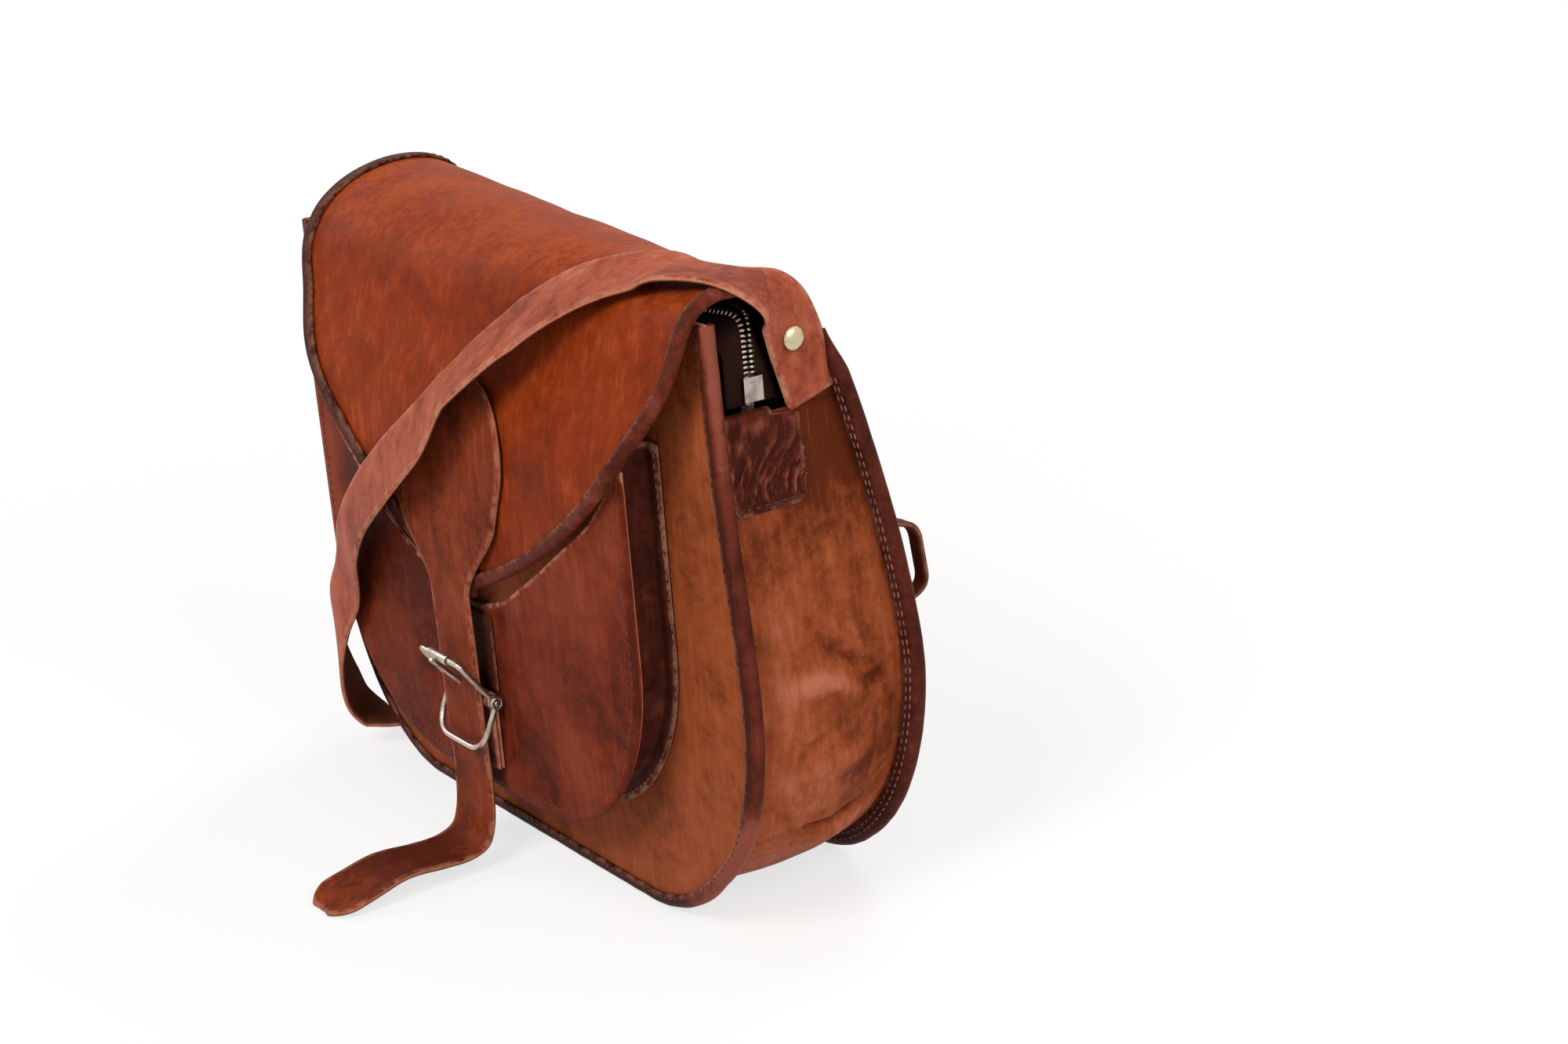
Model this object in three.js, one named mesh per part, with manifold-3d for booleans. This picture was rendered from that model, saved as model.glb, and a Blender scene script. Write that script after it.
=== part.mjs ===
// Leather satchel with a flap, a front pocket and one shoulder strap.
// Millimetres, +Z up, +X to the bag's right, -Y to the front.
// The origin is on the floor, under the middle of the front panel's bound edge.
import * as THREE from 'three';
import { mergeVertices } from 'three/addons/utils/BufferGeometryUtils.js';
import Module from 'manifold-3d';

const wasm = await Module();
wasm.setup();

// Clearance between pieces that are sewn or seated face to face
const GAP = 0.3;

// Leather thicknesses
const PANEL_T = 2.2;
const GUSSET_T = 1.8;
const BINDING_T = 1.5;
const FLAP_T = 2.4;
const STRAP_T = 2.6;
const TAB_T = 1.8;

// Front and back panels; the back leans forward towards the hinge, more at the right than at the left
const PANEL_TOP = 291;
const PANEL_HALF_TOP = 184;
const PANEL_HALF_LOW = 192;
const PANEL_CORNER_X = 90;
const PANEL_CORNER_Z = 118;
const BAG_DEPTH = 98;
const BACK_LEAN_RIGHT = 29;
const BACK_LEAN_LEFT = 3;
const BACK_LEAN_FROM = 115;
const BACK_LEAN_POWER = 1.6;

// Flap: its outline, and the side profiles that it hangs in at its two ends
const HINGE_Z = 262;
const FLAP_HALF = 182;
const FLAP_HALF_BACK = 172;
const FLAP_LEFT_SHARE = 0.88;
const FLAP_LEFT_POWER = 3;
const CROWN_RIGHT_Y = 14;
const CROWN_RIGHT_Z = 300;
const CROWN_RIGHT_POWER = 2;
const CROWN_LEFT_Y = 50;
const CROWN_LEFT_Z = 314;
const CROWN_LEFT_POWER = 3;
const FLAP_FRONT_Y = -6;
const FLAP_TIP_Z = 140;
const FLAP_TIP_HALF = 15;
const FLAP_POCKET_CLEARANCE = 2.3;
const FLAP_TAPER = 1.8;
const FLAP_ROUNDING = 1.2;
const FLAP_BINDING_SETBACK = 14;

// Bound seams and sewn flanges
const FLANGE = 9;
const BINDING_LEG = 8.4;
const SEAM = GAP + BINDING_T;

// Gusset strip and the ears that carry the shoulder strap
const GUSSET_TOP = 246;
const EAR_Y = 47;
const EAR_WIDTH = 24;
const EAR_RISE = 38;

// Front pocket
const POCKET_DEPTH = 25;
const POCKET_HALF = 146;
const POCKET_BOTTOM = 36;
const POCKET_SIDE_TOP = 216;
const POCKET_CORNER_X = 95;
const POCKET_CORNER_Z = 100;
const POCKET_FLANGE = 8;
const POCKET_FLANGE_INSET = 4;
const POCKET_MOUTH_Z = 131;
const POCKET_MOUTH_SLOPE = 0.8;
const POCKET_MOUTH_ROUND = 46;

// Closure strap
const TAB_HALF = 45;
const CLOSURE_HALF = 17;
const TAB_TOP_Z = 246;
const TAB_ROUND = 50;
const TAB_CROWN = 0.97;
const TAB_LEAN = 22;
const TAB_NECK = 42;
const TAIL_LENGTH = 82;
const TAIL_LIFT = 7.5;
const PRONG_HOLE_STRETCH = 2.6;

// Buckle
const BAR_R = 1.6;
const BAR_Z = 86;
const WIRE_R = 1.5;
const WIRE_CLEARANCE = 0.3;
const FRAME_REACH = 28;
const FRAME_TILT = 35;
const FRAME_CORNER = 4;
const EYE_R = 3.4;
const EYE_LENGTH = 3;
const ROLLER_R = 2.5;
const ROLLER_LENGTH = 18;
const PRONG_R = 1.2;
const KEEPER_DROP = 25;
const KEEPER_TILT = 24;
const KEEPER_CORNER = 13;
const CHAPE_FOOT_Z = 50;
const CHAPE_T = 2;

// Shoulder strap and its rivets
const SHOULDER_HALF = 16;
const RIVET_Z = 276;
const RIVET_POST_R = 2.2;
const RIVET_CAP_R = 5.6;
const RIVET_CAP_H = 3;
const RIVET_CLEARANCE = 0.08;
const STRAP_END = 26;

// Zip along the mouth
const TAPE_T = 1.2;
const TAPE_W = 13;
const ZIP_Y = 29;
const ZIP_CHAIN_RISE = 4;
const ZIP_TEETH = 40;
const ZIP_TURN = 46;
const ZIP_CORNER = 9;
const TOOTH_R = 1.3;
const SLIDER_LENGTH = 11;
const SLIDER_HALF_WIDTH = 5;
const SLIDER_PLATE = 1.2;
const PULL_LENGTH = 24;
const PULL_HALF_WIDTH = 3.5;
const PULL_T = 1.1;
const BRIDGE_WIDTH = 2;
const END_TAB_WIDTH = 40;
const END_TAB_FRONT_Y = 10;
const END_TAB_DROP = 42;
const END_TAB_INNER = 16;
const END_TAB_INNER_WIDTH = 20;

// Loops behind the back
const LOOP_HALF_WIDTH = 11;
const LOOP_X = 160;
const LOOP_Z = 157;
const LOOP_HEIGHT = 46;
const LOOP_STANDOFF = 17;
const LOOP_FOOT = 12;
const LOOP_T = 2.8;
const LOOP_SLANT = 8;
const LOOP_BEND = 7;

// Facets
const SIDE_STEPS = 10;
const CORNER_STEPS = 8;
const FLAP_STEPS = 44;
const FLAP_STEP_POWER = 1.3;
const RING_SIDES = 10;
const TURN_SIDES = 16;

// Materials
const leather = (color, roughness) => new THREE.MeshStandardMaterial({ color, roughness, metalness: 0 });
const metal = (color, roughness) => new THREE.MeshStandardMaterial({ color, roughness, metalness: 1 });
const MATERIALS = {
  panel: () => leather(0x8a4526, 0.5),
  gusset: () => leather(0x99552f, 0.5),
  flap: () => leather(0x9a4420, 0.45),
  binding: () => leather(0x472520, 0.55),
  pocket: () => leather(0x7c3526, 0.5),
  strap: () => leather(0x94503f, 0.5),
  tape: () => leather(0x15110f, 0.9),
  nickel: () => metal(0xa3968c, 0.35),
  brass: () => metal(0xb7a67c, 0.35),
};

const bag = new THREE.Group();

function addPart(name, geometry, material) {
  geometry.computeVertexNormals();
  const mesh = new THREE.Mesh(geometry, MATERIALS[material]());
  mesh.name = name;
  bag.add(mesh);
}

// Lofts

const vec = (x, y, z) => new THREE.Vector3(x, y, z);

// Triangles that close a ring, in the ring's own direction.
function capFaces(section) {
  const turn = Math.sign(THREE.ShapeUtils.area(section));
  return THREE.ShapeUtils.triangulateShape(section, []).map(([a, b, c]) => {
    const face = [section[a], section[b], section[c]];
    return Math.sign(THREE.ShapeUtils.area(face)) === turn ? [a, b, c] : [a, c, b];
  });
}

// Triangles that close a plate's ring: `across` points out and the same number back.
function plateFaces(across) {
  const faces = [];
  const last = 2 * across - 1;
  for (let i = 0; i < across - 1; i++) {
    faces.push([i, i + 1, last - i]);
    faces.push([i + 1, last - i - 1, last - i]);
  }
  return faces;
}

function signedVolume(positions, index) {
  let volume = 0;
  const corner = (i) => vec(...positions.slice(3 * i, 3 * i + 3));
  for (let i = 0; i < index.length; i += 3) {
    const [a, b, c] = [corner(index[i]), corner(index[i + 1]), corner(index[i + 2])];
    volume += a.dot(b.cross(c)) / 6;
  }
  return volume;
}

// A closed solid through a list of rings that all have the same number of points.
function loft(rings, caps) {
  const size = rings[0].length;
  const positions = rings.flat().flatMap((p) => [p.x, p.y, p.z]);
  const index = [];
  for (let i = 0; i < rings.length - 1; i++) {
    for (let j = 0; j < size; j++) {
      const a = i * size + j;
      const b = i * size + ((j + 1) % size);
      index.push(a, b, b + size);
      index.push(a, b + size, a + size);
    }
  }
  const end = (rings.length - 1) * size;
  for (const [a, b, c] of caps) {
    index.push(a, c, b);
    index.push(end + a, end + b, end + c);
  }
  if (signedVolume(positions, index) < 0) {
    index.reverse();
  }
  const geometry = new THREE.BufferGeometry();
  geometry.setAttribute('position', new THREE.Float32BufferAttribute(positions, 3));
  geometry.setIndex(index);
  return geometry;
}

// A sheet with thickness: each row gives its outer points and its inner points in the same order.
function sheet(rows) {
  const rings = rows.map(({ outer, inner }) => [...outer, ...inner.slice().reverse()]);
  return loft(rings, plateFaces(rows[0].outer.length));
}

// Middle direction of a path at point i
function pathTangent(points, i) {
  const before = points[Math.max(i - 1, 0)];
  const after = points[Math.min(i + 1, points.length - 1)];
  return after.clone().sub(before).normalize();
}

// A flat section of (side, normal) points carried along a path with a normal at each point.
function sweep(points, normals, section, scale = () => 1) {
  const rings = points.map((p, i) => {
    const normal = normals[i];
    const side = normal.clone().cross(pathTangent(points, i)).normalize();
    return section.map((s) => p.clone()
      .addScaledVector(side, s.x * scale(i))
      .addScaledVector(normal, s.y));
  });
  return loft(rings, capFaces(section));
}

const circle = (radius) => Array.from({ length: RING_SIDES }, (_, i) => {
  const angle = (2 * Math.PI * i) / RING_SIDES;
  return new THREE.Vector2(radius * Math.cos(angle), radius * Math.sin(angle));
});

const rectangle = (half, thickness) => [
  new THREE.Vector2(-half, -thickness / 2),
  new THREE.Vector2(half, -thickness / 2),
  new THREE.Vector2(half, thickness / 2),
  new THREE.Vector2(-half, thickness / 2),
];

// A round wire along points that lie in one plane
function wire(points, planeNormal, radius) {
  return sweep(points, points.map(() => planeNormal), circle(radius));
}

// A broken line with its inner corners rounded by curves
function roundCorners(corners, radius, steps) {
  const points = [corners[0]];
  for (let i = 1; i < corners.length - 1; i++) {
    const entry = corners[i].clone().lerp(corners[i - 1], radius / corners[i].distanceTo(corners[i - 1]));
    const exit = corners[i].clone().lerp(corners[i + 1], radius / corners[i].distanceTo(corners[i + 1]));
    points.push(...new THREE.QuadraticBezierCurve3(entry, corners[i], exit).getPoints(steps));
  }
  points.push(corners[corners.length - 1]);
  return points;
}

// Cuts and joins

function toManifold(geometry) {
  const bare = new THREE.BufferGeometry();
  bare.setAttribute('position', geometry.getAttribute('position').clone());
  bare.setIndex(geometry.index);
  const merged = mergeVertices(bare, 1e-4);
  return new wasm.Manifold(new wasm.Mesh({
    numProp: 3,
    vertProperties: new Float32Array(merged.getAttribute('position').array),
    triVerts: new Uint32Array(merged.index.array),
  }));
}

function toGeometry(manifold) {
  const mesh = manifold.getMesh();
  const geometry = new THREE.BufferGeometry();
  geometry.setAttribute('position', new THREE.BufferAttribute(mesh.vertProperties, 3));
  geometry.setIndex(new THREE.BufferAttribute(mesh.triVerts, 1));
  return geometry;
}

function join(...geometries) {
  return toGeometry(geometries.map(toManifold).reduce((all, next) => all.add(next)));
}

function cut(geometry, ...tools) {
  return toGeometry(tools.map(toManifold).reduce((rest, tool) => rest.subtract(tool), toManifold(geometry)));
}

// Pieces that lie along X
function cylinderX(radius, length, centre) {
  const geometry = new THREE.CylinderGeometry(radius, radius, length, TURN_SIDES);
  return geometry.rotateZ(Math.PI / 2).translate(centre.x, centre.y, centre.z);
}

function boxAt(size, centre) {
  return new THREE.BoxGeometry(size.x, size.y, size.z).translate(centre.x, centre.y, centre.z);
}

// A turned piece whose profile (radius, distance) runs along +X, or -X when `way` is -1
function turnedX(profile, centre, way) {
  const points = profile.map(([r, d]) => new THREE.Vector2(r, d));
  const geometry = new THREE.LatheGeometry(points, TURN_SIDES);
  return geometry.rotateZ((-way * Math.PI) / 2).translate(centre.x, centre.y, centre.z);
}

// Outlines of the panels and of the pocket

const PANEL = {
  top: PANEL_TOP,
  halfTop: PANEL_HALF_TOP,
  halfLow: PANEL_HALF_LOW,
  bottom: SEAM,
  cornerX: PANEL_CORNER_X,
  cornerZ: PANEL_CORNER_Z,
};
const POCKET = {
  top: POCKET_SIDE_TOP,
  halfTop: POCKET_HALF,
  halfLow: POCKET_HALF,
  bottom: POCKET_BOTTOM,
  cornerX: POCKET_CORNER_X,
  cornerZ: POCKET_CORNER_Z,
};

function halfWidth(shape, z) {
  const low = shape.bottom + shape.cornerZ;
  return THREE.MathUtils.mapLinear(z, low, shape.top, shape.halfLow, shape.halfTop);
}

// Right half of an outline, as (x, z) points from the top down to the straight bottom edge
function rightOutline(shape, top) {
  const low = shape.bottom + shape.cornerZ;
  const points = [];
  for (let i = 0; i <= SIDE_STEPS; i++) {
    const z = THREE.MathUtils.lerp(top, low, i / SIDE_STEPS);
    points.push(new THREE.Vector2(halfWidth(shape, z), z));
  }
  for (let i = 1; i <= CORNER_STEPS; i++) {
    const angle = ((Math.PI / 2) * i) / CORNER_STEPS;
    const x = shape.halfLow - shape.cornerX * (1 - Math.cos(angle));
    points.push(new THREE.Vector2(x, low - shape.cornerZ * Math.sin(angle)));
  }
  return points;
}

// Whole outline from top right to top left, set in by `inset`, with its outward normals
function outline(shape, top, inset = 0) {
  const right = rightOutline(shape, top);
  const left = right.map((p) => new THREE.Vector2(-p.x, p.y)).reverse();
  const path = [...right, ...left];
  return path.map((p, i) => {
    const along = pathTangent(path, i);
    const normal = new THREE.Vector2(-along.y, along.x);
    return { point: p.clone().addScaledVector(normal, -inset), normal };
  });
}

// A section of (outward, depth) points carried along an outline; what is near the back leans with it
function sweepOutline(stations, section) {
  const rings = stations.map(({ point, normal }) => section.map((s) => {
    const place = point.clone().addScaledVector(normal, s.x);
    const lean = s.y > BAG_DEPTH / 2 ? BAG_DEPTH - backFace(place.x, place.y) : 0;
    return vec(place.x, s.y - lean, place.y);
  }));
  return loft(rings, capFaces(section));
}

// A strip with both edges turned outwards, between two depths
function channel(front, back, flange, thickness) {
  return [
    [flange, front], [flange, front + thickness], [0, front + thickness], [0, back - thickness],
    [flange, back - thickness], [flange, back], [-thickness, back], [-thickness, front],
  ].map(([out, depth]) => new THREE.Vector2(out, depth));
}

// A folded strip that goes round an edge lying between two depths
function foldedEdge(front, back) {
  const near = front - SEAM;
  const far = back + SEAM;
  return [
    [SEAM, near], [SEAM, far], [-BINDING_LEG, far], [-BINDING_LEG, far - BINDING_T],
    [GAP, far - BINDING_T], [GAP, near + BINDING_T], [-BINDING_LEG, near + BINDING_T], [-BINDING_LEG, near],
  ].map(([out, depth]) => new THREE.Vector2(out, depth));
}

function extrudeToBack(shape, frontY, thickness) {
  const geometry = new THREE.ExtrudeGeometry(shape, { depth: thickness, bevelEnabled: false, curveSegments: 10 });
  return geometry.rotateX(Math.PI / 2).translate(0, frontY + thickness, 0);
}

// Front and back panels

// How far along from the left side to the right side
const acrossShare = (x, half) => THREE.MathUtils.clamp((x + half) / (2 * half), 0, 1);

// Outer face of the back
function backFace(x, z) {
  const rise = Math.max(0, (z - BACK_LEAN_FROM) / (HINGE_Z - BACK_LEAN_FROM));
  const lean = THREE.MathUtils.lerp(BACK_LEAN_LEFT, BACK_LEAN_RIGHT, acrossShare(x, PANEL_HALF_LOW));
  return BAG_DEPTH - lean * rise ** BACK_LEAN_POWER;
}

function makePanels() {
  const points = outline(PANEL, PANEL_TOP).map((s) => s.point);
  addPart('front_panel', extrudeToBack(new THREE.Shape(points), 0, PANEL_T), 'panel');

  const across = 5;
  const rows = rightOutline(PANEL, HINGE_Z - GAP).map((p) => {
    const xs = Array.from({ length: across }, (_, i) => p.x * ((2 * i) / (across - 1) - 1));
    return {
      outer: xs.map((x) => vec(x, backFace(x, p.y), p.y)),
      inner: xs.map((x) => vec(x, backFace(x, p.y) - PANEL_T, p.y)),
    };
  });
  addPart('back_panel', sheet(rows), 'gusset');
}

// Gusset: sides and bottom in one strip, with an ear on each side for the shoulder strap

const GUSSET_FRONT = PANEL_T + GAP;
const GUSSET_BACK = BAG_DEPTH - PANEL_T - GAP;
const webOuter = halfWidth(PANEL, GUSSET_TOP) - FLANGE;
const earTop = GUSSET_TOP + EAR_RISE;
const zipBottom = GUSSET_TOP + ZIP_CHAIN_RISE;

function earPlate(side) {
  const half = EAR_WIDTH / 2;
  const shape = new THREE.Shape();
  shape.moveTo(EAR_Y - half, GUSSET_TOP - FLANGE);
  shape.lineTo(EAR_Y + half, GUSSET_TOP - FLANGE);
  shape.lineTo(EAR_Y + half, earTop - half);
  shape.absarc(EAR_Y, earTop - half, half, 0, Math.PI, false);
  const geometry = new THREE.ExtrudeGeometry(shape, { depth: GUSSET_T, bevelEnabled: false, curveSegments: 8 });
  geometry.rotateX(Math.PI / 2).rotateZ(Math.PI / 2);
  const start = side > 0 ? webOuter - GUSSET_T : -webOuter;
  return geometry.translate(start, 0, 0);
}

function makeGusset() {
  const stations = outline(PANEL, GUSSET_TOP, FLANGE);
  const strip = sweepOutline(stations, channel(GUSSET_FRONT, GUSSET_BACK, FLANGE - GAP, GUSSET_T));
  const holes = [1, -1].map((side) => (
    cylinderX(RIVET_POST_R + RIVET_CLEARANCE, 4 * FLANGE, vec(side * webOuter, EAR_Y, RIVET_Z))));
  addPart('gusset', cut(join(strip, earPlate(1), earPlate(-1)), ...holes), 'gusset');
}

function makeBindings() {
  const front = sweepOutline(outline(PANEL, PANEL_TOP), foldedEdge(0, GUSSET_FRONT + GUSSET_T));
  addPart('front_binding', front, 'binding');
  const backEdge = outline(PANEL, HINGE_Z - FLAP_BINDING_SETBACK);
  const back = sweepOutline(backEdge, foldedEdge(GUSSET_BACK - GUSSET_T, BAG_DEPTH));
  addPart('back_binding', back, 'binding');
}

// Flap: a side profile from the hinge over the crown to the tip, blended between its two ends

const flapTipY = -POCKET_DEPTH - FLAP_POCKET_CLEARANCE - BINDING_T - GAP;

function flapProfile(x, crownY, crownZ, power) {
  const hingeY = backFace(x, HINGE_Z) - FLAP_T;
  const rear = [Math.PI / 6, Math.PI / 3].map((angle) => vec(
    0,
    THREE.MathUtils.lerp(crownY, hingeY, Math.cos(angle) ** (2 / power)),
    THREE.MathUtils.lerp(HINGE_Z, crownZ, Math.sin(angle) ** (2 / power)),
  ));
  const fall = (yShare, zShare) => vec(
    0,
    THREE.MathUtils.lerp(FLAP_FRONT_Y, flapTipY, yShare),
    THREE.MathUtils.lerp(PANEL_TOP, POCKET_SIDE_TOP, zShare),
  );
  const hang = (share) => vec(0, flapTipY, THREE.MathUtils.lerp(POCKET_SIDE_TOP, FLAP_TIP_Z, share));
  return new THREE.CatmullRomCurve3([
    vec(0, hingeY, HINGE_Z + GAP),
    ...rear,
    vec(0, crownY, crownZ),
    vec(0, THREE.MathUtils.lerp(crownY, FLAP_FRONT_Y, 0.6), THREE.MathUtils.lerp(crownZ, PANEL_TOP, 0.32)),
    fall(0, 0), fall(0.45, 0.4), fall(0.92, 0.8),
    hang(0.2), hang(0.6), hang(1),
  ]);
}

const flapRight = flapProfile(FLAP_HALF, CROWN_RIGHT_Y, CROWN_RIGHT_Z, CROWN_RIGHT_POWER);
const flapLeft = flapProfile(-FLAP_HALF, CROWN_LEFT_Y, CROWN_LEFT_Z, CROWN_LEFT_POWER);
const flapShoulder = 0.5;

function flapNormal(x, t) {
  const along = flapLeft.getTangent(t).lerp(flapRight.getTangent(t), acrossShare(x, FLAP_HALF)).normalize();
  return vec(0, along.z, -along.y);
}

// A point on the flap: x across, t along the profile, lift above the inner face
function flapPoint(x, t, lift) {
  const spine = flapLeft.getPoint(t).lerp(flapRight.getPoint(t), acrossShare(x, FLAP_HALF));
  return spine.addScaledVector(flapNormal(x, t), lift).setX(x);
}

// Where along the profile the front of the flap is at a height
function flapAtHeight(x, z) {
  let low = flapShoulder;
  let high = 1;
  for (let i = 0; i < 40; i++) {
    const middle = (low + high) / 2;
    if (flapPoint(x, middle, 0).z > z) {
      low = middle;
    } else {
      high = middle;
    }
  }
  return (low + high) / 2;
}

// Half width of the flap on one side, 1 for the right and -1 for the left
function flapHalf(t, side) {
  const share = Math.min(t / flapShoulder, 1);
  const back = THREE.MathUtils.lerp(FLAP_HALF_BACK, FLAP_HALF, share);
  const sided = back * (side > 0 ? 1 : THREE.MathUtils.lerp(1, FLAP_LEFT_SHARE, share ** FLAP_LEFT_POWER));
  const fall = THREE.MathUtils.clamp((PANEL_TOP - flapPoint(0, t, 0).z) / (PANEL_TOP - FLAP_TIP_Z), 0, 1);
  const width = share < 1 ? 1 : (1 - fall ** FLAP_TAPER) ** (1 / FLAP_ROUNDING);
  return side * Math.max(sided * width, FLAP_TIP_HALF);
}

// Profile stations, closer together towards the tip
const flapStations = Array.from({ length: FLAP_STEPS + 1 }, (_, i) => (
  1 - (1 - i / FLAP_STEPS) ** FLAP_STEP_POWER));

function makeFlap() {
  const across = 5;
  const rows = flapStations.map((t) => {
    const left = flapHalf(t, -1);
    const right = flapHalf(t, 1);
    const xs = Array.from({ length: across }, (_, i) => THREE.MathUtils.lerp(left, right, i / (across - 1)));
    return {
      outer: xs.map((x) => flapPoint(x, t, FLAP_T)),
      inner: xs.map((x) => flapPoint(x, t, 0)),
    };
  });
  addPart('flap', sheet(rows), 'flap');
}

function makeFlapBinding() {
  const hinge = flapPoint(0, 0, 0);
  const bound = flapStations.filter((t) => flapPoint(0, t, 0).distanceTo(hinge) >= FLAP_BINDING_SETBACK);
  const right = bound.map((t) => ({ t, x: flapHalf(t, 1) }));
  const left = bound.map((t) => ({ t, x: flapHalf(t, -1) }));
  const path = [...right, ...left.reverse()];
  const points = path.map(({ t, x }) => flapPoint(x, t, FLAP_T / 2));
  const section = foldedEdge(-FLAP_T / 2, FLAP_T / 2);
  const rings = path.map(({ t, x }, i) => {
    const normal = flapNormal(x, t);
    const down = vec(0, -normal.z, normal.y);
    const side = normal.clone().cross(pathTangent(points, i)).normalize();
    return section.map((p) => flapPoint(x + side.x * p.x, t, FLAP_T / 2 + p.y)
      .addScaledVector(down, side.dot(down) * p.x));
  });
  addPart('flap_binding', loft(rings, capFaces(section)), 'binding');
}

// Front pocket: a flat front with a scooped mouth and its own side strip

const pocketFace = -POCKET_DEPTH;

function pocketMouth(x) {
  return POCKET_MOUTH_Z + POCKET_MOUTH_SLOPE * (Math.hypot(x, POCKET_MOUTH_ROUND) - POCKET_MOUTH_ROUND);
}

function makePocket() {
  const sideTop = pocketMouth(POCKET_HALF);
  const points = outline(POCKET, sideTop).map((s) => s.point);
  const mouthSteps = 16;
  for (let i = 1; i < mouthSteps; i++) {
    const x = THREE.MathUtils.lerp(-POCKET_HALF, POCKET_HALF, i / mouthSteps);
    points.push(new THREE.Vector2(x, pocketMouth(x)));
  }
  addPart('pocket_front', extrudeToBack(new THREE.Shape(points), pocketFace, PANEL_T), 'pocket');

  const section = channel(pocketFace + PANEL_T + GAP, -GAP, POCKET_FLANGE, GUSSET_T);
  const inset = POCKET_FLANGE + POCKET_FLANGE_INSET;
  const strip = sweepOutline(outline(POCKET, sideTop - inset, inset), section);
  addPart('pocket_gusset', strip, 'binding');
}

// Buckle: a bar in a folded chape; the frame, prong and keeper turn on the bar

const chapeR = BAR_R + WIRE_CLEARANCE + CHAPE_T;
const barCentre = vec(0, pocketFace - GAP - chapeR, BAR_Z);
const closureY = barCentre.y - chapeR - GAP - STRAP_T / 2;
const frameX = CLOSURE_HALF + WIRE_CLEARANCE + WIRE_R;
const keeperX = frameX + WIRE_R + WIRE_CLEARANCE + EYE_LENGTH / 2;

// A direction in the YZ plane, turned from straight up towards the front
const tilted = (degrees) => {
  const angle = THREE.MathUtils.degToRad(degrees);
  return vec(0, -Math.sin(angle), Math.cos(angle));
};
const frameUp = tilted(FRAME_TILT);
const frameFace = tilted(FRAME_TILT + 90);
const rollerCentre = barCentre.clone().addScaledVector(frameUp, FRAME_REACH);
const keeperDown = tilted(180 - KEEPER_TILT);
const prongTip = rollerCentre.clone()
  .addScaledVector(frameFace, ROLLER_R + WIRE_CLEARANCE + PRONG_R)
  .addScaledVector(frameUp, ROLLER_R);
const prongAlong = prongTip.clone().sub(barCentre).normalize();

const barAt = (x) => barCentre.clone().setX(x);
const eye = (x, length) => cylinderX(EYE_R, length, barAt(x));
const barHole = () => cylinderX(BAR_R + WIRE_CLEARANCE, 2 * PANEL_HALF_LOW, barCentre);

function makeBuckleFrame() {
  const arm = (x) => barAt(x).addScaledVector(frameUp, EYE_R - WIRE_R / 2);
  const top = (x) => rollerCentre.clone().setX(x);
  const path = roundCorners([arm(frameX), top(frameX), top(-frameX), arm(-frameX)], FRAME_CORNER, 6);
  const loop = wire(path, frameFace, WIRE_R);
  const eyes = [eye(frameX, 2 * WIRE_R), eye(-frameX, 2 * WIRE_R)];
  addPart('buckle_frame', cut(join(loop, ...eyes), barHole()), 'nickel');

  const bore = WIRE_R + WIRE_CLEARANCE / 2;
  const half = ROLLER_LENGTH / 2;
  const sleeve = [[bore, -half], [ROLLER_R, -half], [ROLLER_R, half], [bore, half], [bore, -half]];
  addPart('buckle_roller', turnedX(sleeve, rollerCentre, 1), 'nickel');
}

function makeBuckleKeeper() {
  const arm = (x) => barAt(x).addScaledVector(keeperDown, EYE_R - WIRE_R / 2);
  const low = (x) => barAt(x).addScaledVector(keeperDown, KEEPER_DROP);
  const corners = [arm(keeperX), low(keeperX), low(-keeperX), arm(-keeperX)];
  const loop = wire(roundCorners(corners, KEEPER_CORNER, 10), tilted(90 - KEEPER_TILT), WIRE_R);
  const eyes = [eye(keeperX, EYE_LENGTH), eye(-keeperX, EYE_LENGTH)];
  addPart('buckle_keeper', cut(join(loop, ...eyes), barHole()), 'nickel');
}

function makeBuckleProng() {
  const root = barCentre.clone().addScaledVector(prongAlong, EYE_R - PRONG_R);
  const tongue = wire([root, prongTip], vec(1, 0, 0), PRONG_R);
  addPart('buckle_prong', cut(join(tongue, eye(0, 2 * PRONG_R)), barHole()), 'nickel');
}

function makeChape() {
  const width = 2 * (frameX - WIRE_R - WIRE_CLEARANCE);
  const thickness = 2 * CHAPE_T;
  const foot = vec(width, thickness, BAR_Z - CHAPE_FOOT_Z);
  const footCentre = vec(0, pocketFace - GAP - thickness / 2, (BAR_Z + CHAPE_FOOT_Z) / 2);
  const fold = cylinderX(chapeR, width, barCentre);
  const slotWidth = 2 * (PRONG_R + WIRE_CLEARANCE);
  const slot = boxAt(vec(slotWidth, 3 * chapeR, 2 * (EYE_R + WIRE_CLEARANCE)), barCentre.clone().setY(barCentre.y));
  addPart('buckle_chape', cut(join(boxAt(foot, footCentre), fold), barHole(), slot), 'strap');
  const barLength = 2 * (keeperX + EYE_LENGTH / 2 + WIRE_CLEARANCE);
  addPart('buckle_bar', cylinderX(BAR_R, barLength, barCentre), 'nickel');
}

// Closure strap: sewn down the middle of the flap, then through the buckle, its tail on the floor

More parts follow.
